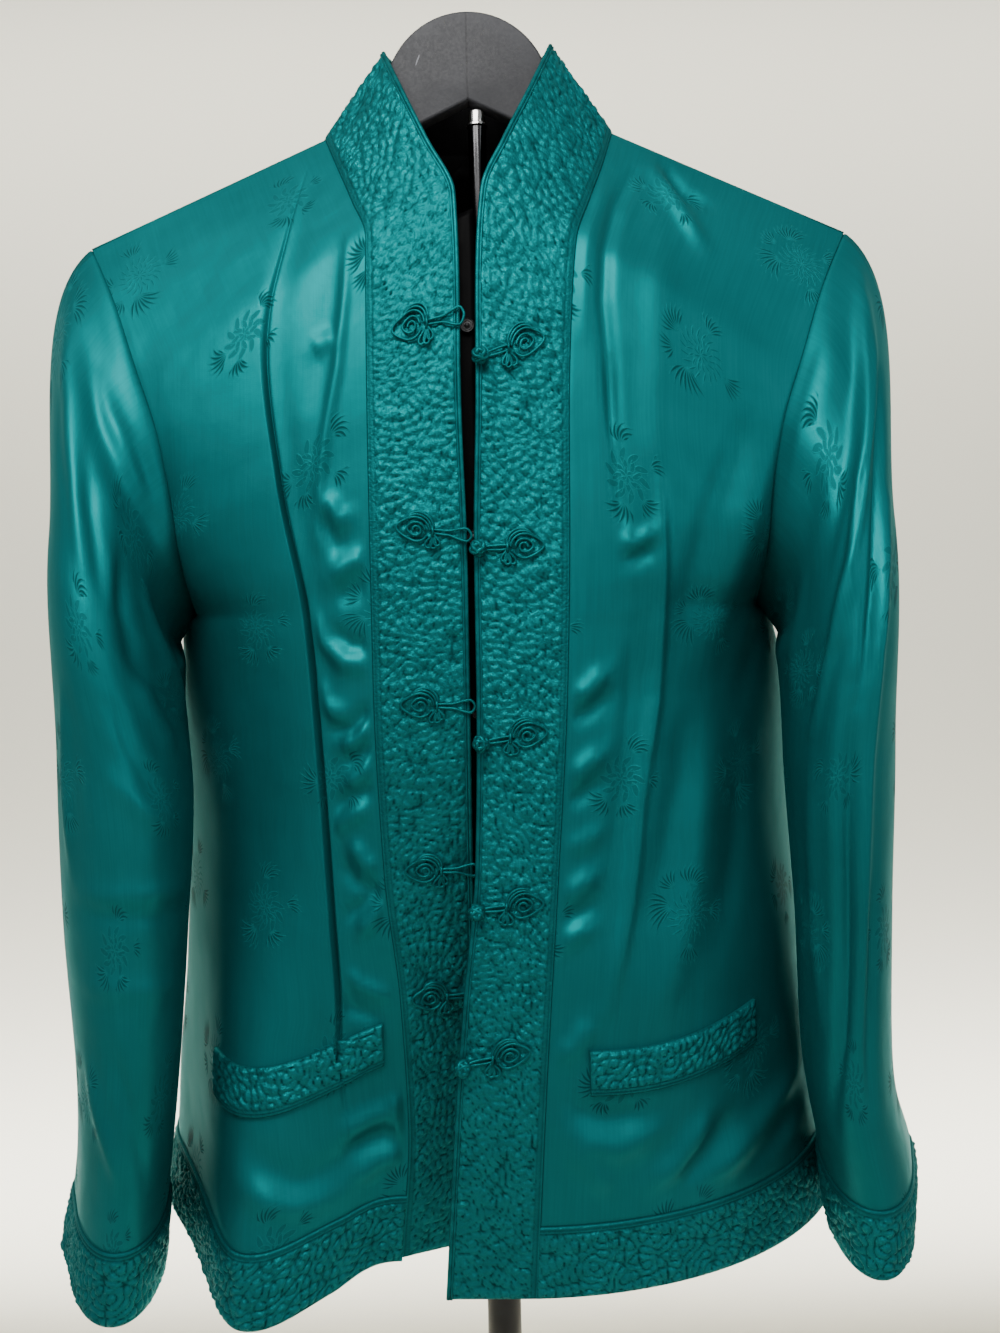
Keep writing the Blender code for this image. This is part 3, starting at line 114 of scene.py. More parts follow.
BOARD_X = -0.0045
BOARD_Z = 1.4215
BOARD_RADIUS = 0.046
BOARD_THICKNESS = 0.010
BOARD_APEX_Z = 1.4206  # the notch under the middle of the board
BOARD_EDGE = 0.0016  # its rounded edge
BOARD_NECK = 0.010  # the round part starts this far above the arms' roots
ARM_SLOPE = math.tan(math.radians(23.5))
ARM_REACH = 0.182
ARM_HEIGHT = 0.010
ARM_ROOT_X = 0.0775
ARM_ROOT_Z = 1.3945
POLE_TOP_Z = 1.4125
UPPER_POLE_RADIUS = 0.005
LOWER_POLE_RADIUS = 0.010
POLE_JOIN_Z = 0.900
BASE_RADIUS = 0.180
BASE_HEIGHT = 0.012
HUB_HEIGHT = 0.030
HUB_RADIUS = 0.015
CAP_RADIUS = 0.0058
CAP_HEIGHT = 0.0097
CLAMP_RADIUS = 0.0135
CLAMP_HEIGHT = 0.040
FIT_GAP = 0.0003  # between the stand's own pieces where they meet


def table(columns, *rows):
    """Named columns of numbers, a row for each section."""
    names = columns.split()
    return {name: np.array([row[i] for row in rows], float) for i, name in enumerate(names)}


# Front bands, keyed by the height of the seam: where the seam and the free edge lie.
BAND = {
    1: table(
        "z x_seam y_seam x_edge y_edge z_edge",
        (0.7970, 0.0180, -0.0935, -0.0266, -0.0910, 0.7960),
        (0.8980, 0.0245, -0.0880, -0.0190, -0.0880, 0.8980),
        (0.9500, 0.0285, -0.0845, -0.0140, -0.0850, 0.9500),
        (1.0130, 0.0335, -0.0800, -0.0070, -0.0800, 1.0130),
        (1.0980, 0.0396, -0.0745, -0.0044, -0.0750, 1.0980),
        (1.1730, 0.0425, -0.0690, -0.0040, -0.0700, 1.1730),
        (1.2460, 0.0440, -0.0630, -0.0015, -0.0660, 1.2500),
        (1.2950, 0.0465, -0.0575, -0.0003, -0.0600, 1.3120),
        (1.3300, 0.0500, -0.0510, 0.0030, -0.0540, 1.3540),
        (1.3540, 0.0580, -0.0360, 0.0146, -0.0450, 1.3820),
        (1.3790, 0.0670, -0.0180, 0.0285, -0.0300, 1.4130),
        (NECK_SEAM_Z, 0.0745, 0.0000, 0.0412, -0.0060, 1.4465),
    ),
    -1: table(
        "z x_seam y_seam x_edge y_edge z_edge",
        (0.7990, -0.0540, -0.0620, -0.0095, -0.0450, 0.7980),
        (0.8700, -0.0480, -0.0620, -0.0100, -0.0460, 0.8700),
        (0.9380, -0.0500, -0.0640, -0.0125, -0.0520, 0.9380),
        (1.0090, -0.0562, -0.0670, -0.0120, -0.0620, 1.0090),
        (1.0980, -0.0585, -0.0690, -0.0110, -0.0700, 1.0980),
        (1.1730, -0.0582, -0.0680, -0.0107, -0.0700, 1.1730),
        (1.2500, -0.0580, -0.0630, -0.0120, -0.0660, 1.2520),
        (1.2950, -0.0578, -0.0570, -0.0115, -0.0600, 1.3120),
        (1.3330, -0.0577, -0.0500, -0.0125, -0.0540, 1.3520),
        (1.3570, -0.0660, -0.0350, -0.0260, -0.0450, 1.3825),
        (1.3800, -0.0750, -0.0180, -0.0390, -0.0300, 1.4140),
        (NECK_SEAM_Z, -0.0840, 0.0000, -0.0500, -0.0060, 1.4445),
    ),
}

# Fronts, a row for each level: z_in on the band seam, the outer end on the armhole or side seam
# (x from the jacket's centre), and how far the row bows out of a straight line.
FRONT_ROWS = table(
    "z_in x_out y_out z_out bow",
    (1.4035, 0.2095, 0.0000, 1.3475, 0.00),  # shoulder seam
    (1.3760, 0.1900, -0.0240, 1.3120, 0.35),  # below the yoke
    (1.3450, 0.1740, -0.0410, 1.2720, 0.55),  # neck corner
    (1.2900, 0.1610, -0.0490, 1.2320, 0.70),  # chest
    (1.2250, 0.1565, -0.0440, 1.1880, 0.85),  # armhole notch
    (1.1720, 0.1580, -0.0180, 1.1560, 0.95),  # scye
    (1.1420, 0.1620, 0.0120, 1.1420, 0.90),  # underarm
    (1.0970, 0.1755, 0.0365, 1.0970, 0.78),  # bust
    (1.0130, 0.1705, 0.0350, 1.0130, 0.88),  # waist
    (0.9430, 0.1730, 0.0315, 0.9430, 1.00),  # hip
    (0.8850, 0.1785, 0.0285, 0.8850, 1.00),  # below the pockets
    (0.8335, 0.1850, 0.0240, 0.8335, 1.00),  # hem band seam
    (0.7970, 0.1940, 0.0210, 0.7970, 1.00),  # hem
)

# Back, a row for each level: how far round the back of the neck the inner end lies (0 at the
# shoulder seam, 1 at the centre back), the centre line's depth and height, the outer end, the bow.
BACK_ROWS = table(
    "around y_mid z_mid x_out y_out z_out bow",
    (0.00, 0.0580, 1.4080, 0.2095, 0.0000, 1.3475, 0.00),  # shoulder seam
    (0.45, 0.0580, 1.4080, 0.2040, 0.0200, 1.3220, 0.20),  # back yoke
    (1.00, 0.0580, 1.4080, 0.1950, 0.0400, 1.2850, 0.40),  # nape
    (1.00, 0.0700, 1.3450, 0.1870, 0.0500, 1.2400, 0.70),  # shoulder blades
    (1.00, 0.0790, 1.2600, 0.1800, 0.0500, 1.1950, 0.90),  # across the back
    (1.00, 0.0830, 1.1930, 0.1710, 0.0340, 1.1600, 1.00),  # scye
    (1.00, 0.0840, 1.1420, 0.1620, 0.0120, 1.1420, 1.00),  # underarm
    (1.00, 0.0845, 1.0970, 0.1755, 0.0365, 1.0970, 1.00),  # bust
    (1.00, 0.0855, 1.0130, 0.1705, 0.0350, 1.0130, 1.00),  # waist
    (1.00, 0.0870, 0.9430, 0.1730, 0.0315, 0.9430, 1.00),  # hip
    (1.00, 0.0890, 0.8850, 0.1785, 0.0285, 0.8850, 1.00),  # below the pockets
    (1.00, 0.0910, 0.8335, 0.1850, 0.0240, 0.8335, 1.00),  # hem band seam
    (1.00, 0.0925, 0.7970, 0.1940, 0.0210, 0.7970, 1.00),  # hem
)

LEFT_FULLNESS = table(  # the left side seam stands further out and back, by row
    "row more back",
    (6.0, 0.0000, 0.0000),
    (7.0, 0.0058, 0.0090),
    (8.0, 0.0145, 0.0160),
    (9.0, 0.0180, 0.0185),
    (10.0, 0.0200, 0.0190),
    (11.0, 0.0185, 0.0190),
    (12.0, 0.0170, 0.0190),
)
SIDE_FLARE = {  # cloth pressed out under a sleeve, beside the side seam only, by row
    1: table(
        "row more back",
        (6.00, 0.0000, 0.0000),
        (6.12, 0.0088, 0.0105),
        (6.30, 0.0100, 0.0150),
        (7.00, 0.0070, 0.0075),
        (8.00, 0.0072, 0.0078),
        (9.00, 0.0040, 0.0042),
        (10.0, 0.0016, 0.0016),
        (11.0, 0.0000, 0.0000),
    ),
    -1: table(
        "row more back",
        (6.00, 0.0000, 0.0000),
        (6.12, 0.0098, 0.0115),
        (6.30, 0.0128, 0.0192),
        (6.50, 0.0112, 0.0182),
        (7.00, 0.0088, 0.0108),
        (8.00, 0.0112, 0.0112),
        (10.0, 0.0118, 0.0118),
        (11.0, 0.0068, 0.0068),
        (12.0, 0.0000, 0.0000),
    ),
}

# Sleeve rings: centre (x from the jacket's centre), half length and half width of the oval, its
# turn towards the front, and how much the outer side rises above the inner side.
SLEEVE_RINGS = {
    1: table(
        "z x y half_length half_width turn rise",
        (1.1500, 0.1945, -0.0250, 0.0740, 0.0285, 9.0, 0.040),  # upper arm
        (1.0600, 0.1935, -0.0380, 0.0690, 0.0280, 14.0, 0.012),  # elbow
        (0.9800, 0.1936, -0.0440, 0.0650, 0.0245, 14.0, 0.003),  # forearm
        (0.9000, 0.1945, -0.0485, 0.0620, 0.0230, 14.0, 0.000),  # lower forearm
        (0.8470, 0.2040, -0.0485, 0.0590, 0.0235, 14.0, 0.000),  # cuff seam
        (0.8110, 0.2060, -0.0480, 0.0590, 0.0210, 14.0, 0.000),  # cuff edge
    ),
    -1: table(
        "z x y half_length half_width turn rise",
        (1.1500, 0.1935, -0.0240, 0.0740, 0.0310, 10.0, 0.040),  # upper arm
        (1.0600, 0.1901, -0.0380, 0.0690, 0.0340, 20.0, 0.012),  # elbow
        (0.9800, 0.1919, -0.0440, 0.0650, 0.0312, 24.0, 0.003),  # forearm
        (0.9000, 0.1934, -0.0470, 0.0620, 0.0261, 22.0, 0.000),  # lower forearm
        (0.8320, 0.1994, -0.0465, 0.0590, 0.0236, 20.0, 0.000),  # cuff seam
        (0.7930, 0.2042, -0.0455, 0.0590, 0.0236, 20.0, 0.000),  # cuff edge
    ),
}
CUFF_SEAM_STATION = 5  # station 0 is the armhole, station 1 the first ring
CUFF_EDGE_STATION = 6
SLEEVE_TWIST = math.radians(20.0)  # how far a ring's first point is turned from its outer side
SLEEVE_HEAD_OUT = (0.050, 0.055, 0.015)  # how a sleeve leaves the armhole: everywhere, at the
SLEEVE_HEAD_DOWN = (0.080, 0.005)  # shoulder more, and under the arm
SLEEVE_HEAD_SIDE = (0.085, 0.060)  # towards the front, towards the back
SLEEVE_GAP = (0.0085, 0.0052)  # a sleeve starts this far along: all round, and more under the arm
SLEEVE_ALLOWANCE = (0.0045, 0.0065)  # its seam allowance: inwards, and towards the body
SLIT_FLARE = 0.007  # the cuff's two ends stand out beside the slit
SLIT_FLARE_WIDTH = 0.05  # as a share of the way round
SLIT_SHARE = 0.008  # half of the slit, as a share of the way round
SLIT_AROUND = -0.115  # where the cuff is open, as a share of the way round from the shoulder line

# The long overlapping fold down the wearer's right front: its line, how far the cloth outside
# it stands forward, and the trough on the band's side.
LONG_FOLD = table(
    "z across rise trough width",
    (0.8335, 0.0700, 0.0000, 0.0000, 0.0060),
    (0.8850, 0.0745, 0.0008, 0.0004, 0.0030),
    (0.9195, 0.0763, 0.0014, 0.0018, 0.0010),
    (0.9412, 0.0760, 0.0020, 0.0034, 0.0007),
    (0.9842, 0.0781, 0.0024, 0.0042, 0.0006),
    (1.0677, 0.0820, 0.0024, 0.0042, 0.0006),
    (1.1398, 0.0860, 0.0024, 0.0040, 0.0006),
    (1.2099, 0.0976, 0.0022, 0.0034, 0.0007),
    (1.2761, 0.1040, 0.0020, 0.0020, 0.0020),
    (1.3432, 0.0947, 0.0014, 0.0008, 0.0080),
    (1.3900, 0.0860, 0.0000, 0.0000, 0.0120),
)
LONG_FOLD_RUN = 0.080  # the forward cloth eases back over this width

# Soft folds of the back, a row for each: the line from its top to the hem (x from the jacket's
# centre), its half width and its height, below zero for a trough.
FOLDS = (  # x_top, z_top, x_low, width, height
    (-0.120, 1.230, -0.128, 0.015, 0.0070),
    (-0.090, 1.300, -0.088, 0.014, -0.0060),
    (-0.050, 1.270, -0.058, 0.016, 0.0060),
    (-0.004, 1.240, 0.002, 0.018, -0.0060),
    (0.046, 1.290, 0.050, 0.015, 0.0065),
    (0.084, 1.250, 0.092, 0.014, -0.0055),
    (0.122, 1.240, 0.130, 0.014, 0.0070),
)
FOLD_LOW = 0.790

# Sleeve folds, a row for each: the share of the way round at its top and bottom, heights, half
# width as a share of the way round, and height.
SLEEVE_FOLDS = {  # around_top, z_top, around_low, z_low, width, height
    1: (
        (0.64, 1.240, 0.69, 0.980, 0.035, 0.0050),
        (0.82, 1.220, 0.80, 0.920, 0.035, -0.0045),
    ),
    -1: (
        (0.62, 1.250, 0.70, 1.000, 0.035, 0.0050),
        (0.80, 1.200, 0.78, 0.900, 0.035, -0.0045),
    ),
}

# Where the wearer's right front swings forward of its side seam near the hem: the line's distance
# from the centre, its half width on each side, how far forward and down at the hem, its top.
SWING = {"across": 0.126, "inner": 0.047, "outer": 0.032, "forward": 0.046, "drop": 0.012, "z_top": 1.050}

# Pocket welts: on each front, the inner and outer ends of the lower edge as (x from the centre,
# z), the height, and how far the top edge's middle sags.
WELTS = {
    1: {"x": (0.0530, 0.1440), "z": (0.8985, 0.9080), "height": 0.0225, "sag": 0.0045},
    -1: {"x": (0.0530, 0.1440), "z": (0.9060, 0.8930), "height": 0.0225, "sag": 0.0040},
}

# Frog closures from the top: height of the flower on each side, and of the knot and loop ends.
FROGS = table(
    "z_left z_knot z_right z_loop",
    (1.2700, 1.2605, 1.2785, 1.2770),
    (1.1738, 1.1731, 1.1834, 1.1803),
    (1.0798, 1.0765, 1.0954, 1.0947),
    (0.9948, 0.9930, 1.0095, 1.0091),
    (0.9203, 0.9164, 0.9400, 0.9390),
)
FROG_CENTRE = 0.0235  # distance of the flower's centre from the free edge
FROG_WAIST = FROG_CENTRE - 0.0088  # where its cords are bound together
FROG_SQUASH = 0.94  # the flower's height over its width
LOOP_REACH = -0.0042  # the button loop's eye stands this far past the free edge
KNOT_CORD_END = 0.0062  # the knot's two cords end this far inside it

UNDERLAP_TOP = 1.325
UNDERLAP_LOW = 0.930
UNDERLAP_REACH = 0.0095  # how far the placket shows past the free edge
UNDERLAP_WIDTH = 0.026
UNDERLAP_WALL = 0.0010
UNDERLAP_BEHIND = 0.0026  # the snaps lie this far behind the band


# ---------------------------------------------------------------- curves and tables
def smooth(keys, values, at):
    """A monotone cubic through the rows of a table, whose keys rise."""
    at = np.clip(np.asarray(at, float), keys[0], keys[-1])
    step = np.diff(keys)
    rise = np.diff(values) / step
    slope = np.concatenate(([rise[0]], np.zeros(len(rise) - 1), [rise[-1]]))
    for i in range(1, len(rise)):
        if rise[i - 1] * rise[i] > 0:
            slope[i] = 2 * rise[i - 1] * rise[i] / (rise[i - 1] + rise[i])
    i = np.clip(np.searchsorted(keys, at, side="right") - 1, 0, len(step) - 1)
    t = (at - keys[i]) / step[i]
    start, end = values[i], values[i + 1]
    bend = t * (1 - t) ** 2 * slope[i] - t * t * (1 - t) * slope[i + 1]
    return start + (end - start) * t * t * (3 - 2 * t) + bend * step[i]


def look_up(rows, key, at, *names):
    """Columns of a table, read where its key column has the given values."""
    return [smooth(rows[key], rows[name], at) for name in names]


def row(rows, column, at):
    """A column of a table whose rows are numbered from 0."""
    return smooth(np.arange(len(rows[column]), dtype=float), rows[column], at)


def outer_end(rows, side, level):
    """Where a row ends: on the armhole above the underarm, on the side seam below it."""
    keys = np.arange(len(rows["x_out"]), dtype=float)
    split = UNDERARM_ROW

    def column(name):
        above = smooth(keys[: split + 1], rows[name][: split + 1], level)
        below = smooth(keys[split:], rows[name][split:], level)
        return np.where(level < split, above, below)

    x_out, y_out = column("x_out"), column("y_out")
    if side > 0:
        more, back = look_up(LEFT_FULLNESS, "row", level, "more", "back")
        x_out, y_out = x_out + more, y_out + back
    return points(JACKET_X + side * x_out, y_out, column("z_out"))


def ease(low, high, at):
    """0 below low, 1 above high, and smooth between."""
    t = np.clip((at - low) / (high - low), 0, 1)
    return t * t * (3 - 2 * t)


def bell(distance, width):
    """1 on a line and 0 a few half widths away."""
    return np.exp(-((distance / width) ** 2))


def nearest_turn(around):
    """A share of the way round, brought to between -0.5 and 0.5."""
    return np.mod(around + 0.5, 1.0) - 0.5


def sided(piece, side):
    """The name of a piece that the jacket has on both sides."""
    return piece + ("_left" if side > 0 else "_right")


def points(x, y, z):
    """Places from their coordinates, which may be single numbers."""
    return np.stack(np.broadcast_arrays(x, y, z), axis=-1).astype(float)


def unit(arrows):
    """Arrows brought to a length of 1."""
    return arrows / np.maximum(np.linalg.norm(arrows, axis=-1, keepdims=True), 1e-12)


def outward(surface, u, v, middle):
    """Unit normals of a surface of u and v, on the side away from the middle line (x, y)."""
    along = surface(u + NEAR, v) - surface(u - NEAR, v)
    down = surface(u, v + NEAR) - surface(u, v - NEAR)
    normal = unit(np.cross(along, down))
    here = surface(u, v)
    away = normal[..., 0] * (here[..., 0] - middle[0]) + normal[..., 1] * (here[..., 1] - middle[1])
    return normal * np.where(away < 0, -1.0, 1.0)[..., None]


# ---------------------------------------------------------------- the jacket's surfaces
def band_point(side, across, z):
    """A front band: across runs from the seam (0) to the free edge (1), z is the seam's height."""
    columns = ("x_seam", "y_seam", "x_edge", "y_edge", "z_edge")
    x_seam, y_seam, x_edge, y_edge, z_edge = look_up(BAND[side], "z", z, *columns)
    seam = points(x_seam, y_seam, z)
    edge = points(x_edge, y_edge, z_edge)
    return seam + (edge - seam) * np.asarray(across, float)[..., None]


def band_outward(side, across, z):
    """The band's own normal, leaning out at the collar."""
    across, z = np.broadcast_arrays(np.asarray(across, float), np.asarray(z, float))
    z = np.clip(z, BAND[side]["z"][0] + NEAR, NECK_SEAM_Z - NEAR)
    return outward(functools.partial(band_point, side), across, z, BAND_MIDDLE)


def neck_point(around):
    """The neck seam at the back: 0 and 2 at the shoulder seams, 1 at the centre back."""
    angle = np.asarray(around, float) * math.pi / 2
    left, right = BAND[1]["x_seam"][-1], BAND[-1]["x_seam"][-1]
    middle, half = (left + right) / 2, (left - right) / 2
    lift = (NECK_BACK_Z - NECK_SEAM_Z) * np.sin(angle)
    return points(middle + half * np.cos(angle), NECK_BACK_Y * np.sin(angle), NECK_SEAM_Z + lift)


def collar_point(around, up):
    """The collar behind the shoulder seams, up from the neck seam (0) to its top edge (1)."""
    angle = np.asarray(around, float) * math.pi / 2
    left, right = BAND[1]["x_edge"][-1], BAND[-1]["x_edge"][-1]
    middle, half = (left + right) / 2, (left - right) / 2
    start_y = BAND[1]["y_edge"][-1]
    y = start_y + (COLLAR_TOP_BACK_Y - start_y) * np.sin(angle)
    z_side = BAND[1]["z_edge"][-1] + (BAND[-1]["z_edge"][-1] - BAND[1]["z_edge"][-1]) * around / 2
    z = z_side + (COLLAR_TOP_BACK_Z - z_side) * np.sin(angle)
    top = points(middle + half * np.cos(angle), y, z)
    seam = neck_point(around)
    return seam + (top - seam) * np.asarray(up, float)[..., None]


def bowed_row(inner, outer, u, bow, level_start=0.0):
    """A row from its inner to its outer end, bowed out as a quarter of an oval.

    With level_start at 1 it leaves its inner end level and square to the centre line.
    """
    angle = np.clip(u, -0.02, 1.0) * math.pi / 2
    sine = np.sin(angle) * bow + u * (1 - bow)
    cosine = np.cos(angle) * bow + (1 - u) * (1 - bow)
    cosine = cosine + (np.cos(angle) - cosine) * level_start
    fall = sine + (1 - np.cos(angle) - sine) * level_start
    x = inner[..., 0] + (outer[..., 0] - inner[..., 0]) * sine
    y = outer[..., 1] + (inner[..., 1] - outer[..., 1]) * cosine
    z = inner[..., 2] + (outer[..., 2] - inner[..., 2]) * fall
    return points(x, y, z)


def side_flare(side, u, level):
    """How far the cloth beside a side seam is pressed out under the sleeve."""
    more, back = look_up(SIDE_FLARE[side], "row", level, "more", "back")
    return points(side * more, back, np.zeros_like(more)) * ease(0.62, 1.0, u)[..., None]


def front_base(side, u, level):
    """A front before its folds: u from the band seam (0) to the armhole and side seam (1)."""
    inner = band_point(side, np.zeros_like(u), row(FRONT_ROWS, "z_in", level))
    base = bowed_row(inner, outer_end(FRONT_ROWS, side, level), u, row(FRONT_ROWS, "bow", level))
    return base + side_flare(side, u, level)


def back_base(side, u, level):
    """Half of the back before its folds: u from the neck or centre line to the outer edge."""
    around = row(BACK_ROWS, "around", level)
    neck = neck_point(around if side > 0 else 2 - around)
    drop = NECK_BACK_Z - row(BACK_ROWS, "z_mid", level)
    depth = row(BACK_ROWS, "y_mid", level) - NECK_BACK_Y
    to_middle = (JACKET_X - neck_point(1.0)[0]) * ease(2.0, 4.0, level)
    inner = neck + points(to_middle, depth, -drop)
    outer = outer_end(BACK_ROWS, side, level)
    level_start = ease(0.0, NAPE_ROW, level)
    base = bowed_row(inner, outer, u, row(BACK_ROWS, "bow", level), level_start)
    return base + side_flare(side, u, level)


def back_folds(across, z):
    """The height of the back's soft folds above its base surface."""
    height = np.zeros_like(across)
    for x_top, z_top, x_low, width, rise in FOLDS:
        share = (z_top - z) / (z_top - FOLD_LOW)
        line = x_top + (x_low - x_top) * np.clip(share, 0, 1)
        height += rise * ease(-0.02, 0.22, share) * bell(across - line, width)
    return height


def long_fold(across, z):
    """The overlapping fold of the wearer's right front, as height above the base surface."""
    line, rise, trough, half = look_up(LONG_FOLD, "z", z, "across", "rise", "trough", "width")
    past = across - line
    step = ease(-half, half, past) * (1 - ease(0.010, LONG_FOLD_RUN, past))
    return rise * step - trough * (bell(past + 0.0010, 0.0009) + 0.35 * bell(past + 0.0080, 0.0060))


def front_point(side, u, level):
    """The outer face of a front or of the hem band below it."""
    u, level = np.broadcast_arrays(np.asarray(u, float), np.asarray(level, float))
    surface = functools.partial(front_base, side)
    base = surface(u, level)
    if side > 0:
        return base
    normal = outward(surface, np.clip(u, 0.002, 0.998), level, FRONT_MIDDLE)
    across = JACKET_X - base[..., 0]
    fixed = ease(0.0, EASE_FROM_BAND, u) * (1 - ease(*EASE_TO_SIDE, u)) * ease(0.1, 1.0, level)
    folded = base + normal * (long_fold(across, base[..., 2]) * fixed)[..., None]
    share = 1 - ease(HEM_Z, SWING["z_top"], base[..., 2])
    width = np.where(across < SWING["across"], SWING["inner"], SWING["outer"])
    pull = share * bell(across - SWING["across"], width) * ease(0.0, 0.15, u)
    pull = pull * (1 - ease(0.86, 1.0, u))
    return folded - points(0.0, SWING["forward"] * pull, SWING["drop"] * pull)


def back_point(side, u, level):
    """The outer face of half of the back or of the hem band below it."""
    u, level = np.broadcast_arrays(np.asarray(u, float), np.asarray(level, float))
    surface = functools.partial(back_base, side)
    base = surface(u, level)
    normal = outward(surface, np.clip(u, 0.002, 0.998), level, BACK_MIDDLE)
    aside = ease(0.0, CENTRE_SHARE, u)[..., None]
    normal = normal * aside + np.array((0.0, 1.0, 0.0)) * (1 - aside)
    across = base[..., 0] - JACKET_X
    fixed = (1 - ease(*EASE_TO_SIDE, u)) * ease(2.0, 3.5, level)
    return base + normal * (back_folds(across, base[..., 2]) * fixed)[..., None]


def armhole_point(side, around):
    """The armhole: 0 at the shoulder, 0.25 at the front, 0.5 under the arm, 0.75 at the back."""
    around = np.mod(np.asarray(around, float), 1.0)
    front = around <= 0.5
    level = np.where(front, around, 1 - around) * 2 * UNDERARM_ROW
    ones = np.ones_like(level)
    ahead = front_base(side, ones, level)
    behind = back_base(side, ones, level)
    return np.where(front[..., None], ahead, behind)


def sleeve_ring(side, around, ring):
    """A point on one of the sleeve's oval rings."""
    angle = 2 * math.pi * np.asarray(around, float) + SLEEVE_TWIST

    def at(name):
        return SLEEVE_RINGS[side][name][ring]

    turn = math.radians(at("turn"))
    forward = at("half_length") * np.sin(angle)
    out = at("half_width") * np.cos(angle)
    x = at("x") - forward * math.sin(turn) + out * math.cos(turn)
    y = at("y") - forward * math.cos(turn) - out * math.sin(turn)
    z = at("z") + at("rise") * np.cos(angle)
    return points(JACKET_X + side * x, y, z)


def sleeve_base(side, around, station):
    """A sleeve before its folds: station 0 on the armhole, 1 and up on the rings."""
    around, station = np.broadcast_arrays(np.asarray(around, float), np.asarray(station, float))
    rings = [armhole_point(side, around)]
    rings += [sleeve_ring(side, around, i) for i in range(len(SLEEVE_RINGS[side]["z"]))]
    rings = np.stack(rings)
    last = len(rings) - 1
    slopes = np.empty_like(rings)
    slopes[1:-1] = (rings[2:] - rings[:-2]) / 2
    slopes[-1] = rings[-1] - rings[-2]
    angle = 2 * math.pi * around
    out = np.cos(angle) * 0.5 + 0.5
    sideways = -np.where(np.sin(angle) > 0, *SLEEVE_HEAD_SIDE) * np.sin(angle)
    reach_out = SLEEVE_HEAD_OUT[0] + SLEEVE_HEAD_OUT[1] * out + SLEEVE_HEAD_OUT[2] * (1 - out) ** 4
    slopes[0] = points(side * reach_out, sideways, SLEEVE_HEAD_DOWN[1] * out - SLEEVE_HEAD_DOWN[0])
    i = np.clip(np.floor(station).astype(int), 0, last - 1)
    t = (station - i)[..., None]

    def pick(stack, index):
        return np.take_along_axis(stack, index[None, ..., None], axis=0)[0]

    start = pick(rings, i)
    blend = start + (pick(rings, i + 1) - start) * t * t * (3 - 2 * t)
    return blend + pick(slopes, i) * t * (1 - t) ** 2 - pick(slopes, i + 1) * t * t * (1 - t)


def sleeve_folds(side, around, z):
    """The height of a sleeve's soft folds above its base surface."""
    height = np.zeros_like(around)
    for around_top, z_top, around_low, z_low, width, rise in SLEEVE_FOLDS[side]:
        share = (z_top - z) / (z_top - z_low)
        line = around_top + (around_low - around_top) * np.clip(share, 0, 1)
        fade = ease(0.0, 0.25, share) * (1 - ease(0.75, 1.0, share))
        height += rise * fade * bell(nearest_turn(around - line), width)
    return height


def sleeve_point(side, around, station):
    """The outer face of a sleeve or of the cuff below it."""
    around, station = np.broadcast_arrays(np.asarray(around, float), np.asarray(station, float))
    surface = functools.partial(sleeve_base, side)
    base = surface(around, station)
    safe = np.clip(station, 0.01, CUFF_EDGE_STATION - 0.01)
    normal = side * unit(np.cross(
        surface(around + NEAR, safe) - surface(around - NEAR, safe),
        surface(around, safe + NEAR) - surface(around, safe - NEAR),
    ))
    height = sleeve_folds(side, around, base[..., 2]) * ease(0.0, 0.5, station)
    flare = ease(CUFF_SEAM_STATION - 1.0, CUFF_EDGE_STATION, station)
    away = np.abs(nearest_turn(around - SLIT_AROUND))
    height = height + SLIT_FLARE * flare * bell(away, SLIT_FLARE_WIDTH)
    return base + normal * height[..., None]


def sleeve_out(side, around, station):
    """The direction that a sleeve's outer face looks."""
    here = sleeve_point(side, around, station)
    beside = sleeve_point(side, around + NEAR, station) - here
    below = sleeve_point(side, around, station + NEAR) - here
    return side * unit(np.cross(beside, below))


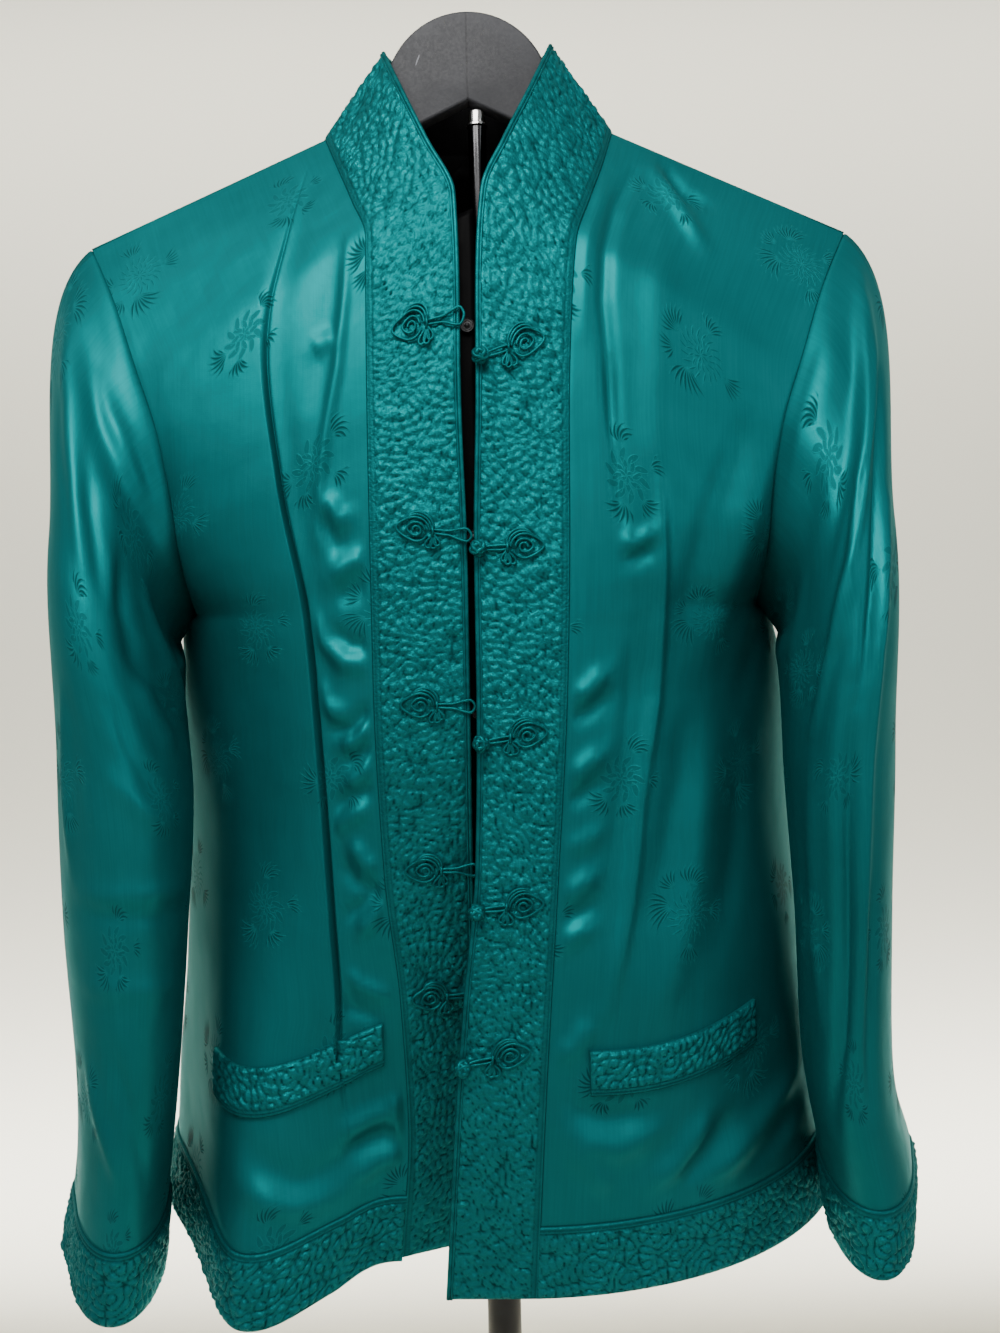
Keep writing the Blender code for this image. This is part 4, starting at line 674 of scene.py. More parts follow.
# ---------------------------------------------------------------- finer creases, on the visible cloth
# Creases, a row for each, in millimetres: half width, height (below zero for a trough), then the
# points of its line as (distance from the jacket's centre, height). On a sleeve the first of a
# pair is the distance round from the shoulder line.
CREASES = {
    "front_right": (
        (3, 2.2, (60, 1333), (62, 1301), (66, 1265), (72, 1235), (76, 1210), (78, 1177)),
        (6, -1.2, (67, 1328), (72, 1286), (79, 1250)),
        (5, 2.2, (79, 1276), (67, 1283)),
        (4.5, 3, (73, 1202), (67, 1190), (60, 1192)),
        (4, -2.2, (76, 1192), (69, 1177), (61, 1180)),
        (4.5, 3.4, (72, 1160), (64, 1166), (52, 1171)),
        (5, -2.6, (70, 1150), (59, 1154), (52, 1158)),
        (5, 3.4, (83, 1144), (77, 1129), (66, 1118), (52, 1115)),
        (4.5, -2.6, (73, 1134), (63, 1127), (52, 1126)),
        (5.5, 3.6, (82, 1109), (78, 1097), (66, 1088)),
        (4.5, 3.2, (70, 1074), (61, 1078), (52, 1087)),
        (4, -2.8, (76, 1083), (64, 1084), (52, 1096)),
        (4.5, 3.2, (68, 1054), (58, 1061), (52, 1069)),
        (4, -2.6, (71, 1064), (60, 1070), (52, 1077)),
        (4.5, 3, (76, 1030), (67, 1037), (56, 1044)),
        (4, -2.4, (75, 1043), (64, 1049), (51, 1054)),
        (4.5, 3, (66, 1025), (59, 1014), (50, 1012)),
        (4, -2.4, (73, 1014), (64, 1003), (52, 999)),
        (4.5, 3.2, (63, 976), (56, 985), (49, 994)),
        (4, -2.4, (72, 984), (61, 992), (49, 1003)),
        (4.5, 2.8, (72, 957), (64, 949), (48, 942)),
        (4, -2.6, (75, 949), (70, 937), (54, 931)),
        (7, 3.4, (126, 855), (110, 846), (92, 837), (72, 838)),
        (7, -2.4, (121, 870), (97, 853), (68, 859)),
        (6, 3, (145, 826), (144, 825), (133, 830)),
        (6, 3.6, (77, 872), (67, 876), (50, 881)),
        (6, 3.4, (47, 891), (46, 874), (43, 864)),
        (6, 3.6, (70, 845), (60, 853), (44, 857)),
        (5, -2.6, (75, 861), (62, 866), (46, 869)),
    ),
    "front_left": (
        (3.6, -2.8, (91, 1377), (79, 1353), (71, 1324), (69, 1298), (71, 1267), (72, 1232)),
        (3.2, -2.2, (71, 1267), (72, 1232), (74, 1202), (77, 1176)),
        (5, 1.4, (75, 1369), (65, 1342), (60, 1319), (59, 1282)),
        (4, 3, (76, 1182), (79, 1174), (86, 1176), (93, 1182)),
        (4, -2.4, (78, 1165), (85, 1168), (91, 1173)),
        (5, 3, (102, 1383), (109, 1366), (119, 1344), (126, 1330)),
        (4.5, -2.6, (108, 1381), (117, 1366), (130, 1358)),
        (9, 1.5, (104, 1346), (98, 1298), (96, 1247), (96, 1196)),
        (3.4, 2.8, (96, 1206), (96, 1176), (96, 1146), (94, 1120), (92, 1094), (88, 1069)),
        (3.6, 2.6, (91, 1092), (86, 1064), (82, 1040), (79, 1014), (76, 994), (70, 967), (63, 939)),
        (8, -3, (84, 1146), (81, 1100), (77, 1064), (70, 1020), (63, 980)),
        (10, -3.4, (145, 1247), (135, 1219), (123, 1186), (114, 1158), (107, 1125)),
        (8, 2.8, (152, 1212), (143, 1181), (134, 1150), (125, 1118)),
        (8, -2.2, (157, 1166), (162, 1132), (145, 1095)),
        (10, 2.6, (127, 1075), (119, 1040), (113, 1004), (103, 971), (87, 927)),
        (10, -2.4, (111, 1093), (105, 1052), (96, 1012), (86, 973)),
        (8, -2, (144, 1057), (137, 1010), (126, 966)),
        (5, 3.4, (48, 1097), (57, 1102), (66, 1112)),
        (4.5, -2.4, (47, 1086), (57, 1090), (69, 1099)),
        (5.5, 3.6, (45, 1056), (52, 1062), (64, 1071)),
        (4.5, -2.4, (44, 1044), (53, 1049), (65, 1056)),
        (5, 2, (43, 1022), (52, 1025), (61, 1031)),
        (5.5, 3.4, (41, 997), (48, 1002), (58, 1009)),
        (4.5, -2.4, (40, 986), (49, 989), (59, 995)),
        (5, 2.6, (38, 972), (45, 978), (56, 983)),
        (5.5, 3, (36, 917), (46, 924), (55, 936)),
        (7, 3.8, (39, 886), (49, 875), (67, 870), (89, 877)),
        (6, -2.8, (45, 894), (58, 886), (83, 886)),
        (6, 3.2, (41, 872), (52, 862), (63, 849)),
        (7, 3.6, (83, 848), (99, 858), (117, 879)),
        (7, -3, (98, 846), (112, 857), (130, 876)),
        (8, 4, (112, 839), (129, 851), (150, 868), (171, 877)),
        (7, -2.8, (129, 834), (149, 844), (172, 858)),
        (8, 2.2, (142, 834), (160, 844), (177, 855)),
    ),
    "sleeve_right": (
        (7, -3.6, (24, 1307), (48, 1270), (66, 1243), (84, 1217), (102, 1198), (122, 1180), (138, 1165)),
        (3.2, 3, (50, 1270), (67, 1246), (83, 1227), (99, 1209), (117, 1189), (133, 1170)),
        (4.5, -3, (80, 1233), (94, 1217), (107, 1202), (120, 1187)),
        (8, 3.4, (18, 1302), (42, 1254), (56, 1211), (61, 1171)),
        (7, -2, (63, 1216), (74, 1181), (79, 1152)),
        (7, -3.4, (98, 1172), (95, 1147), (102, 1125), (113, 1107)),
        (7, 3.2, (119, 1162), (125, 1141), (133, 1117), (156, 1097)),
        (5, -3, (160, 1129), (156, 1113), (170, 1095)),
        (8, 3, (105, 1117), (109, 1096), (122, 1072)),
        (8, -1.8, (77, 1109), (80, 1080), (96, 1054)),
        (7, 1.8, (52, 1071), (79, 1053), (114, 1036)),
        (6, 1.4, (23, 1009), (66, 1010), (130, 1005)),
        (6, -1.4, (21, 1001), (65, 1001), (130, 995)),
        (6, 1.4, (18, 963), (56, 965), (119, 958)),
        (6, 2.4, (27, 1109), (14, 1064), (14, 1019)),
        (7, 2.6, (20, 922), (35, 898), (62, 868)),
        (7, -2.2, (46, 935), (64, 906), (89, 866)),
    ),
    "sleeve_left": (
        (3.4, 3.6, (10, 1323), (33, 1278), (49, 1238), (64, 1202), (74, 1163), (88, 1135), (101, 1105),
         (109, 1078)),
        (3, 3.2, (17, 1303), (33, 1261), (52, 1217), (63, 1182), (74, 1151), (87, 1125)),
        (7, -3.4, (28, 1302), (49, 1260), (65, 1228), (83, 1192), (97, 1163)),
        (6, -4.4, (28, 1256), (38, 1212), (48, 1172), (62, 1134), (66, 1097)),
        (6, 3.6, (28, 1192), (46, 1153), (52, 1120), (52, 1078), (55, 1035), (60, 987), (64, 933)),
        (8, -4.6, (75, 1102), (71, 1059), (74, 1016), (78, 972), (84, 933), (102, 888)),
        (8, 2, (123, 1164), (129, 1124), (134, 1082)),
        (8, 2.2, (42, 1290), (69, 1251), (92, 1220), (113, 1190)),
        (7, -1.8, (53, 1260), (72, 1234), (92, 1209), (110, 1185)),
        (7, 2, (106, 1066), (109, 1021), (112, 975), (107, 932)),
        (6, -2, (46, 1010), (48, 971), (52, 928), (54, 893)),
    ),
    "back": (
        (8, 2.8, (-155, 1250), (-140, 1190), (-118, 1140)),
        (8, -2.6, (-140, 1240), (-126, 1180), (-106, 1130)),
        (8, 2.8, (155, 1260), (140, 1200), (120, 1150)),
        (8, -2.6, (140, 1250), (127, 1190), (106, 1130)),
        (7, 2.2, (-70, 960), (-65, 850)),
        (7, 2.4, (25, 990), (22, 850)),
        (7, -2.4, (68, 980), (72, 850)),
    ),
}
TURN_LENGTH = 0.36  # once round a sleeve


def creases(panel, across, z):
    """The height of a panel's creases."""
    height = np.zeros_like(across)
    for width, rise, *line in CREASES[panel]:
        line = np.array(line) / 1000
        lengths = np.hypot(*np.diff(line, axis=0).T)
        nearest = np.full_like(across, np.inf)
        share = np.zeros_like(across)
        for i, length in enumerate(lengths):
            run = (line[i + 1] - line[i]) / length
            past = np.clip((across - line[i, 0]) * run[0] + (z - line[i, 1]) * run[1], 0, length)
            gap = np.hypot(across - line[i, 0] - run[0] * past, z - line[i, 1] - run[1] * past)
            share = np.where(gap < nearest, (lengths[:i].sum() + past) / lengths.sum(), share)
            nearest = np.minimum(nearest, gap)
        fade = ease(-0.15, 0.30, share) * (1 - ease(0.70, 1.15, share))
        height += rise / 1000 * fade * bell(nearest, width / 1000)
    return height


# ---------------------------------------------------------------- meshes from grids of points
def normals_of(places):
    """Unit normals over a grid of points [down][across], from its own spacing."""
    return unit(np.cross(np.gradient(places, axis=1), np.gradient(places, axis=0)))


def facing(normal, places, middle):
    """The normals, turned as one to look away from a middle line (x, y)."""
    away = normal[..., 0] * (places[..., 0] - middle[0]) + normal[..., 1] * (places[..., 1] - middle[1])
    return normal * (1.0 if away.sum() > 0 else -1.0)


def runs(places, axis):
    """Distance along a grid's lines from its first one: 0 runs down the columns, 1 along the rows."""
    steps = np.linalg.norm(np.diff(places, axis=axis), axis=-1)
    shape = list(steps.shape)
    shape[axis] = 1
    return np.concatenate((np.zeros(shape), np.cumsum(steps, axis=axis)), axis=axis)


def rimmed(keys, share=0.12):
    """The keys with one more close to each end, so that a sewn edge shades crisply."""
    first = keys[0] + share * (keys[1] - keys[0])
    last = keys[-1] - share * (keys[-1] - keys[-2])
    return np.concatenate((keys[:1], [first], keys[1:-1], [last], keys[-1:]))


def even(path, low, high, count):
    """count + 1 keys from low to high that divide a path of one key into equal lengths."""
    keys = np.linspace(low, high, 600)
    run = runs(path(keys), 0)
    return np.interp(np.linspace(0, run[-1], count + 1), run, keys)


def panel_line(surface, side, level):
    """A line down a panel, along which its grid rows are evenly spaced."""
    return surface(side, np.full_like(level, 0.4), level)


def to_mesh(bm, name):
    """A new mesh from a bmesh, which is then freed."""
    mesh = bpy.data.meshes.new(name)
    bm.to_mesh(mesh)
    bm.free()
    return mesh


def linked(name, data):
    """An object for its data, in the scene's collection."""
    made = bpy.data.objects.new(name, data)
    bpy.context.scene.collection.objects.link(made)
    return made


def grid_mesh(name, places, cloth_x, cloth_y, normal=None):
    """A grid moved onto points [down][across], with its place in the cloth, in metres, as UVs."""
    cloth_x = np.broadcast_to(cloth_x, places.shape[:2])
    cloth_y = np.broadcast_to(cloth_y, places.shape[:2])
    if normal is not None and (normals_of(places) * normal).sum() < 0:
        places, cloth_x, cloth_y = places[:, ::-1], cloth_x[:, ::-1], cloth_y[:, ::-1]
    rows, columns = places.shape[0] - 1, places.shape[1] - 1
    bm = bmesh.new()
    bmesh.ops.create_grid(bm, x_segments=columns, y_segments=rows, size=1.0)
    mesh = to_mesh(bm, name)
    flat = np.empty(len(mesh.vertices) * 3, np.float32)
    mesh.vertices.foreach_get("co", flat)
    flat = flat.reshape(-1, 3)
    i = np.rint((flat[:, 1] + 1) / 2 * rows).astype(int)
    j = np.rint((flat[:, 0] + 1) / 2 * columns).astype(int)
    mesh.vertices.foreach_set("co", places[i, j].astype(np.float32).ravel())
    corners = np.empty(len(mesh.loops), np.int32)
    mesh.loops.foreach_get("vertex_index", corners)
    uv = np.stack((cloth_x[i, j], cloth_y[i, j]), axis=-1)[corners]
    layer = mesh.uv_layers.new(name="Cloth")
    layer.data.foreach_set("uv", uv.astype(np.float32).ravel())
    mesh.update()
    return mesh


def finish_object(name, mesh, finishes):
    """A named object for a mesh, riding on the one body."""
    made = linked(name, mesh)
    for each in finishes:
        mesh.materials.append(finish(each))
    mesh.shade_smooth()
    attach(made, "root")
    return made


def sewn_cloth(name, blocks, wall, finishes, join=0.0):
    """Grids of points joined where they meet, with a thin wall inwards that shows its own lining."""
    bm = bmesh.new()
    for places, cloth_x, cloth_y, normal in blocks:
        mesh = grid_mesh(name, places, cloth_x, cloth_y, normal)
        bm.from_mesh(mesh)
        bpy.data.meshes.remove(mesh)
    if join:
        bmesh.ops.remove_doubles(bm, verts=bm.verts, dist=join)
    made = finish_object(name + "_cloth", to_mesh(bm, name), finishes)
    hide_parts(name)
    solid = made.modifiers.new("Wall", "SOLIDIFY")
    solid.thickness = wall
    solid.offset = -1.0
    solid.material_offset = len(finishes) - 1
    return made


def strip_keys(width):
    """Shares across a quilted strip: close together over the seam's twin stitches, then even."""
    margin = np.linspace(0, QUILT_MARGIN, 7) / width
    count = max(4, round((1 - margin[-1]) * width / QUILT_STEP))
    count += -(count + 6) % 4
    return np.concatenate((margin, np.linspace(margin[-1], 1, count + 1)[1:]))


def stitch_field(along, across, seed):
    """A wandering labyrinth: stitch lines run where it is 0, and the wadding puffs between them."""
    rng = np.random.default_rng(seed)
    angles = (np.arange(QUILT_WAVES) + rng.uniform(0, 1, QUILT_WAVES)) * math.pi / QUILT_WAVES
    phases = rng.uniform(0, 2 * math.pi, QUILT_WAVES)
    field = np.zeros(np.broadcast(along, across).shape)
    for angle, phase in zip(angles, phases):
        turn = along * math.cos(angle) + across * math.sin(angle)
        field += np.cos(2 * math.pi / sizes().quilt_spacing * turn + phase)
    return np.abs(field) * math.sqrt(2.0 / QUILT_WAVES)


def quilt_lift(along, across, seed):
    """How high a quilted strip stands over its base surface, and how stitched down it is, which is where
    the quilt finish paints shade.
    """
    width, last = across.max(), along.max()
    field = stitch_field(along, across, seed)
    puff = np.clip(field / 1.35, 0, 1) ** 0.7 * (0.75 + 0.25 * np.clip(field / 2.2, 0, 1))
    flat = ease(QUILT_MARGIN - 0.0004, QUILT_MARGIN + 0.0010, across)
    twin = 0.5 - 0.5 * np.cos(2 * math.pi * across / (QUILT_MARGIN / 2))
    puff = puff * flat + 0.30 * twin * (1 - flat)
    puff = puff * (1 - ease(width - 0.0020, width - 0.0001, across))
    puff = puff * ease(0, 0.002, along) * (1 - ease(last - 0.002, last, along))
    # 1 along the stitched valleys and the twin grooves, where the quilt finish paints shade into the colour
    stitched = np.clip(1 - field / 0.32, 0, 1) * flat + (1 - flat) * (1 - twin) * 0.8
    lift = QUILT_RISE * (0.25 + 0.75 * ease(0.0, 0.0014, across)) + sizes().quilt_puff * puff
    return lift, stitched


def quilted(name, base, normal, seed, inner="lining", under=QUILT_WALL):
    """A wadded strip over a plain lining. base is [along][across], from the seam to the edge."""
    along = runs(base, 0).mean(axis=1, keepdims=True)
    across = runs(base, 1).mean(axis=0, keepdims=True)
    lift, stitched = quilt_lift(along, across, seed)
    step = (base.shape[1] - 1) // 4
    plain = (base - normal * under)[:, ::step]
    outer = grid_mesh(name, base + normal * lift[..., None], along, across)
    inside = grid_mesh(name, plain, along, across[:, ::step])
    bm = bmesh.new()
    bm.from_mesh(outer)
    outer_faces = len(bm.faces)
    bm.from_mesh(inside)
    bpy.data.meshes.remove(outer)
    bpy.data.meshes.remove(inside)
    bm.verts.ensure_lookup_table()
    verts = bm.verts[:]
    rows, columns = base.shape[:2]
    top = [verts[i * columns:(i + 1) * columns] for i in range(rows)]
    low = [verts[rows * columns + i * 5:rows * columns + (i + 1) * 5] for i in range(rows)]
    inner_faces = len(bm.faces)
    for i in range(rows - 1):
        bm.faces.new((top[i + 1][0], top[i][0], low[i][0], low[i + 1][0]))
        bm.faces.new((top[i][-1], top[i + 1][-1], low[i + 1][-1], low[i][-1]))
    bm.faces.new(top[0] + low[0][::-1])
    bm.faces.new(top[-1][::-1] + low[-1])
    for index, face in enumerate(bm.faces):
        face.material_index = 1 if outer_faces <= index < inner_faces else 0
    bmesh.ops.recalc_face_normals(bm, faces=bm.faces)
    mesh = to_mesh(bm, name)
    # The stitch attribute is the mask for the painted shade in the stitched valleys, and for the rougher
    # cloth there
    depth = np.zeros(len(mesh.vertices), np.float32)
    depth[:rows * columns] = stitched.ravel()
    valley_shade_mask = mesh.attributes.new("stitch", "FLOAT", "POINT")
    valley_shade_mask.data.foreach_set("value", depth)
    made = finish_object(name + "_quilt", mesh, ["quilt", inner])
    mesh.set_sharp_from_angle(angle=math.radians(75))
    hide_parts(name)


def rounded(path, count):
    """count + 1 points on a smooth curve through a short list of points."""
    path = np.array(path, float)
    keys = np.linspace(0, len(path) - 1, count + 1)
    run = np.concatenate((2 * path[:1] - path[1:2], path, 2 * path[-1:] - path[-2:-1]))
    i = np.clip(np.floor(keys).astype(int), 0, len(path) - 2)
    t = (keys - i)[:, None]
    a, b, c, d = run[i], run[i + 1], run[i + 2], run[i + 3]
    return 0.5 * (2 * b + (c - a) * t + (2 * a - 5 * b + 4 * c - d) * t**2 + (3 * b - a - 3 * c + d) * t**3)


def corded(name, paths, radius, sides=2, finer=()):
    """Round satin cord laid along lists of points, kept as one mesh; finer paths have a share."""
    data = bpy.data.curves.new(name, "CURVE")
    data.dimensions = "3D"
    data.bevel_depth = radius
    data.bevel_resolution = sides
    data.use_fill_caps = True
    for path, share in [(path, 1.0) for path in paths] + list(finer):
        spline = data.splines.new("POLY")
        spline.points.add(len(path) - 1)
        spline.points.foreach_set("co", [float(c) for place in path for c in (*place, 1.0)])
        spline.points.foreach_set("radius", [share] * len(path))
    curve = linked(name + "_line", data)
    graph = bpy.context.evaluated_depsgraph_get()
    mesh = bpy.data.meshes.new_from_object(curve.evaluated_get(graph))
    bpy.data.objects.remove(curve)
    bpy.data.curves.remove(data)
    bm = bmesh.new()
    bm.from_mesh(mesh)
    bmesh.ops.remove_doubles(bm, verts=bm.verts, dist=1e-7)
    bmesh.ops.recalc_face_normals(bm, faces=bm.faces)
    bm.to_mesh(mesh)
    bm.free()
    mesh.name = name
    mesh.materials.clear()
    made = finish_object(name + "_cord", mesh, ["cord"])
    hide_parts(name)
    return made


def turned(name, profile, finish_name, steps=64, place=Matrix()):
    """A round piece from a (radius, height) profile turned about Z, then put in its place."""
    bm = bmesh.new()
    angles = [2 * math.pi * step / steps for step in range(steps)]
    rings = []
    for radius, z in profile:
        if radius > 0:
            ring = [bm.verts.new((radius * math.cos(a), radius * math.sin(a), z)) for a in angles]
        else:
            ring = [bm.verts.new((0.0, 0.0, z))] * steps
        rings.append(ring)
    for upper, lower in zip(rings, rings[1:]):
        for step in range(steps):
            corners = (upper[step - 1], upper[step], lower[step], lower[step - 1])
            bm.faces.new(list(dict.fromkeys(corners)))
    bmesh.ops.recalc_face_normals(bm, faces=bm.faces)
    bmesh.ops.transform(bm, matrix=place, verts=bm.verts)
    mesh = to_mesh(bm, name)
    made = finish_object(name + "_turned", mesh, [finish_name])
    mesh.set_sharp_from_angle(angle=math.radians(38))
    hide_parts(name)


# ---------------------------------------------------------------- satin panels
def seam_dip(places, normal, edges):
    """The cloth rolls in where it is sewn, within SEAM_ROLL of each edge that is named."""
    down, along = runs(places, 0), runs(places, 1)
    reach = {"top": down, "bottom": down[-1:] - down, "first": along, "last": along[:, -1:] - along}
    sink = np.zeros(places.shape[:2])
    for edge in edges:
        sink = np.maximum(sink, 1 - ease(0.0, SEAM_ROLL, reach[edge]))
    return places - normal * (SEAM_DIP * sink**2)[..., None]


def gathered(u, level):
    """Moves a front's columns so that a fifth of them crowd along the long fold."""
    at = front_base(-1, u, level)
    line, = look_up(LONG_FOLD, "z", at[..., 2], "across")
    past = JACKET_X - at[..., 0] - line
    fold = np.array([np.interp(0.0, distance, keys) for distance, keys in zip(past, u)])
    half = 0.016
    columns = np.linspace(0, 1, u.shape[1])
    shares = np.array((0.0, 0.42, 0.62, 1.0))
    moved = np.empty_like(u)
    for i, middle in enumerate(fold):
        moved[i] = np.interp(columns, shares, (u[i, 0], middle - half, middle + half, u[i, -1]))
    moved[:, 1], moved[:, -2] = u[:, 1], u[:, -2]
    return moved


def build_front(side):
    """A front, with its creases, from the band seam to the armhole and the side seam."""
    name = sided("front", side)
    middle = functools.partial(panel_line, front_base, side)
    levels = even(middle, TOP_LEVEL, HEM_SEAM_ROW + HEM_SEAM_LEVEL, FRONT_GRID[0])
    u, level = np.meshgrid(rimmed(np.linspace(*FRONT_SPAN, FRONT_GRID[1])), rimmed(levels))
    if side < 0:
        u = gathered(u, level)
    places = front_point(side, u, level)
    normal = facing(normals_of(places), places, FRONT_MIDDLE)
    aside = side * (places[..., 0] - JACKET_X)
    fixed = ease(0.0, 0.035, u) * (1 - ease(0.92, 0.995, u)) * (1 - ease(10.6, 10.98, level))
    if side < 0:  # no creases in the long fold's trough
        line, depth = look_up(LONG_FOLD, "z", places[..., 2], "across", "trough")
        fixed = fixed * (1 - ease(0.0, 0.002, depth) * ease(-0.009, -0.001, aside - line))
    places = places + normal * (creases(name, aside, places[..., 2]) * fixed)[..., None]
    normal = facing(normals_of(places), places, FRONT_MIDDLE)
    places = seam_dip(places, normal, ("top", "last", "first", "bottom"))
    cloth_x = runs(places, 1) * side + 0.31 * side
    cloth_y = -runs(places, 0).mean(axis=1, keepdims=True)
    made = sewn_cloth(name, [(places, cloth_x, cloth_y, normal)], sizes().cloth_wall, ["satin", "lining"])


def build_back():
    """Both halves, joined down the centre below the neck."""
    middle = functools.partial(panel_line, back_base, 1)
    top = np.linspace(TOP_LEVEL, NAPE_ROW, BACK_TOP_ROWS)
    low = even(middle, NAPE_ROW, HEM_SEAM_ROW + HEM_SEAM_LEVEL, BACK_GRID[0])
    levels = np.concatenate((top, low[1:]))
    halves = []
    for side in (1, -1):
        u, level = np.meshgrid(rimmed(np.linspace(*BACK_SPAN, BACK_GRID[1])), rimmed(levels))
        u = np.where((u == 0.0) & (level < NAPE_ROW - NEAR), 0.002, u)
        places = back_point(side, u, level)
        normal = panel_out(back_point, side, u, level)
        aside = places[..., 0] - JACKET_X
        fixed = ease(0.0, 0.05, u) * (1 - ease(0.86, 0.99, u)) * (1 - ease(10.4, 10.95, level))
        fixed = fixed * ease(2.0, 4.0, level)
        places = places + normal * (creases("back", aside, places[..., 2]) * fixed)[..., None]
        dipped = seam_dip(places, normal, ("top", "last", "bottom"))
        places = np.where((u == 0.0)[..., None], places, dipped)
        cloth_x = runs(places, 1) * side
        cloth_y = -runs(places, 0)[:, 30:31]
        halves.append((places, cloth_x, cloth_y, normal))
    made = sewn_cloth("back", halves, sizes().cloth_wall, ["satin", "lining"], join=2e-5)


def build_sleeve(side):
    """A sleeve, with its creases, from inside the armhole to the cuff seam."""
    name = sided("sleeve", side)
    rows, columns = SLEEVE_GRID
    around = np.linspace(SLIT_AROUND, SLIT_AROUND + 1.0, columns)
    middle = functools.partial(sleeve_middle, side)
    stations = even(middle, 0.0, CUFF_SEAM_STATION + HEM_SEAM_LEVEL, rows)
    w, station = np.meshgrid(around, rimmed(stations))
    under_arm = (0.5 - 0.5 * np.cos(2 * math.pi * around)) ** 2
    gap = SLEEVE_GAP[0] + SLEEVE_GAP[1] * under_arm
    station = np.maximum(station, gap * (1 - ease(0.0, 0.3, station)))
    places = sleeve_point(side, w, station)
    normal = sleeve_out(side, w, np.clip(station, 0.01, None))
    height = creases(name, TURN_LENGTH * nearest_turn(w), places[..., 2])
    fixed = ease(0.01, 0.10, station) * (1 - ease(CUFF_SEAM_STATION - 0.3, CUFF_SEAM_STATION, station))
    places = places + normal * (height * fixed)[..., None]
    places = seam_dip(places, normal, ("top", "bottom"))
    inwards, aside = SLEEVE_ALLOWANCE
    allowance = places[:1] - inwards * normal[:1] - points(aside * side, 0.0, 0.0)
    places, normal = np.concatenate((allowance, places)), np.concatenate((normal[:1], normal))
    cloth_x = (around[None, :] - SLIT_AROUND) * runs(places, 1)[:, -1].mean() + 0.9 + 0.7 * side
    cloth_y = -runs(places, 0).mean(axis=1, keepdims=True)
    block = (places, cloth_x, cloth_y, normal)
    made = sewn_cloth(name, [block], sizes().cloth_wall, ["satin", "lining"], join=1e-5)


def sleeve_middle(side, station):
    """A line down a sleeve, along which its grid rows are evenly spaced."""
    return sleeve_base(side, np.full_like(station, 0.15), station)


def panel_out(surface, side, u, level):
    """The outward direction of front_point or back_point, which both halves of the back share."""
    middle = FRONT_MIDDLE if surface is front_point else BACK_MIDDLE
    safe_level = np.clip(level, 0.01, HEM_ROW - 0.01)
    return outward(functools.partial(surface, side), np.clip(u, 0.002, 0.995), safe_level, middle)


def build_lining():
    """The back of the lining, which shows inside the neck and through the open front."""
    middle = functools.partial(panel_line, back_base, 1)
    low = even(middle, NAPE_ROW, HEM_SEAM_ROW - 0.1, LINING_GRID[0])
    levels = np.concatenate((np.linspace(0.25, NAPE_ROW, 9), low[1:]))
    halves = []
    for side in (1, -1):
        u, level = np.meshgrid(np.linspace(0.0, 0.96, LINING_GRID[1]), levels)
        u = np.where((u == 0.0) & (level < NAPE_ROW - NEAR), 0.012, u)
        surface = functools.partial(back_base, side)
        normal = outward(surface, np.clip(u, 0.002, 0.998), level, BACK_MIDDLE)
        hang = ease(0.0, 3.0, level) * LINING_GAP + sizes().cloth_wall + LINING_NEAR
        hang = hang + 0.0012 * np.sin(23 * u + 3 * side) * ease(3.0, 6.0, level) * ease(0.05, 0.3, u)
        places = surface(u, level) - normal * hang[..., None]
        turn = row(BACK_ROWS, "around", np.clip(level[:, 0], 0, NAPE_ROW))
        turn = turn if side > 0 else 2 - turn
        up = np.full_like(turn, 0.15)  # the neck edge is tucked up behind the collar
        tucked = collar_point(turn, up) - 0.0034 * outward(collar_point, turn, up, BACK_MIDDLE)
        tucked[turn == 1.0, 0] = JACKET_X
        places[:, 0] = np.where(level[:, :1] < NAPE_ROW + NEAR, tucked, places[:, 0])
        places[level[:, 0] > NAPE_ROW - NEAR, 0, 0] = JACKET_X
        halves.append((places, runs(places, 1) * side, -runs(places, 0)[:, 12:13], normal))
    made = sewn_cloth("lining_back", halves, LINING_WALL, ["lining"], join=3e-4)


# ---------------------------------------------------------------- quilted bands
def strip_steps(strip):
    """How many steps a quilted strip's grid takes along it, and its shares across."""
    length, width = STRIPS[strip]
    return round(length / QUILT_STEP), strip_keys(width)


def past_seam(seam, keys):
    """Rows of a strip, from just past its seam to the row or station of its edge."""
    return seam + HEM_SEAM_LEVEL + (1 - HEM_SEAM_LEVEL) * keys


def build_band(side):
    """A front band, quilted from the hem to the neck seam."""
    steps, keys = strip_steps("band")
    middle = functools.partial(band_point, side, 0.6)
    heights = even(middle, BAND[side]["z"][0], NECK_SEAM_Z - EDGE_GAP, steps)
    across, z = np.meshgrid(keys * 0.992, heights)
    quilted(sided("band", side), band_point(side, across, z), band_outward(side, across, z), 21 + side)


def build_collar():
    """The quilted stand collar behind the shoulder seams."""
    steps, keys = strip_steps("collar")
    up, around = np.meshgrid(0.034 + 0.96 * keys, np.linspace(0.014, 1.986, steps))
    normal = outward(collar_point, around, up, BACK_MIDDLE)
    quilted("collar", collar_point(around, up), normal, 31)


def build_cuff(side):
    """A quilted cuff that is open at its slit."""
    steps, keys = strip_steps("cuff")
    first = SLIT_AROUND + SLIT_SHARE
    around = np.linspace(first, first + 1 - 2 * SLIT_SHARE, steps)
    station, w = np.meshgrid(past_seam(CUFF_SEAM_STATION, keys), around)
    quilted(sided("cuff", side), sleeve_point(side, w, station), sleeve_out(side, w, station), 11 + side)


def build_hem_front(side):
    """The quilted hem band of a front."""
    steps, keys = strip_steps("hem_front")
    middle = functools.partial(front_point, side, level=HEM_SEAM_ROW + 0.5)
    level, u = np.meshgrid(past_seam(HEM_SEAM_ROW, keys), even(middle, *FRONT_SPAN, steps))
    normal = panel_out(front_point, side, u, level)
    quilted(sided("hem", side), front_point(side, u, level), normal, 41 + side)


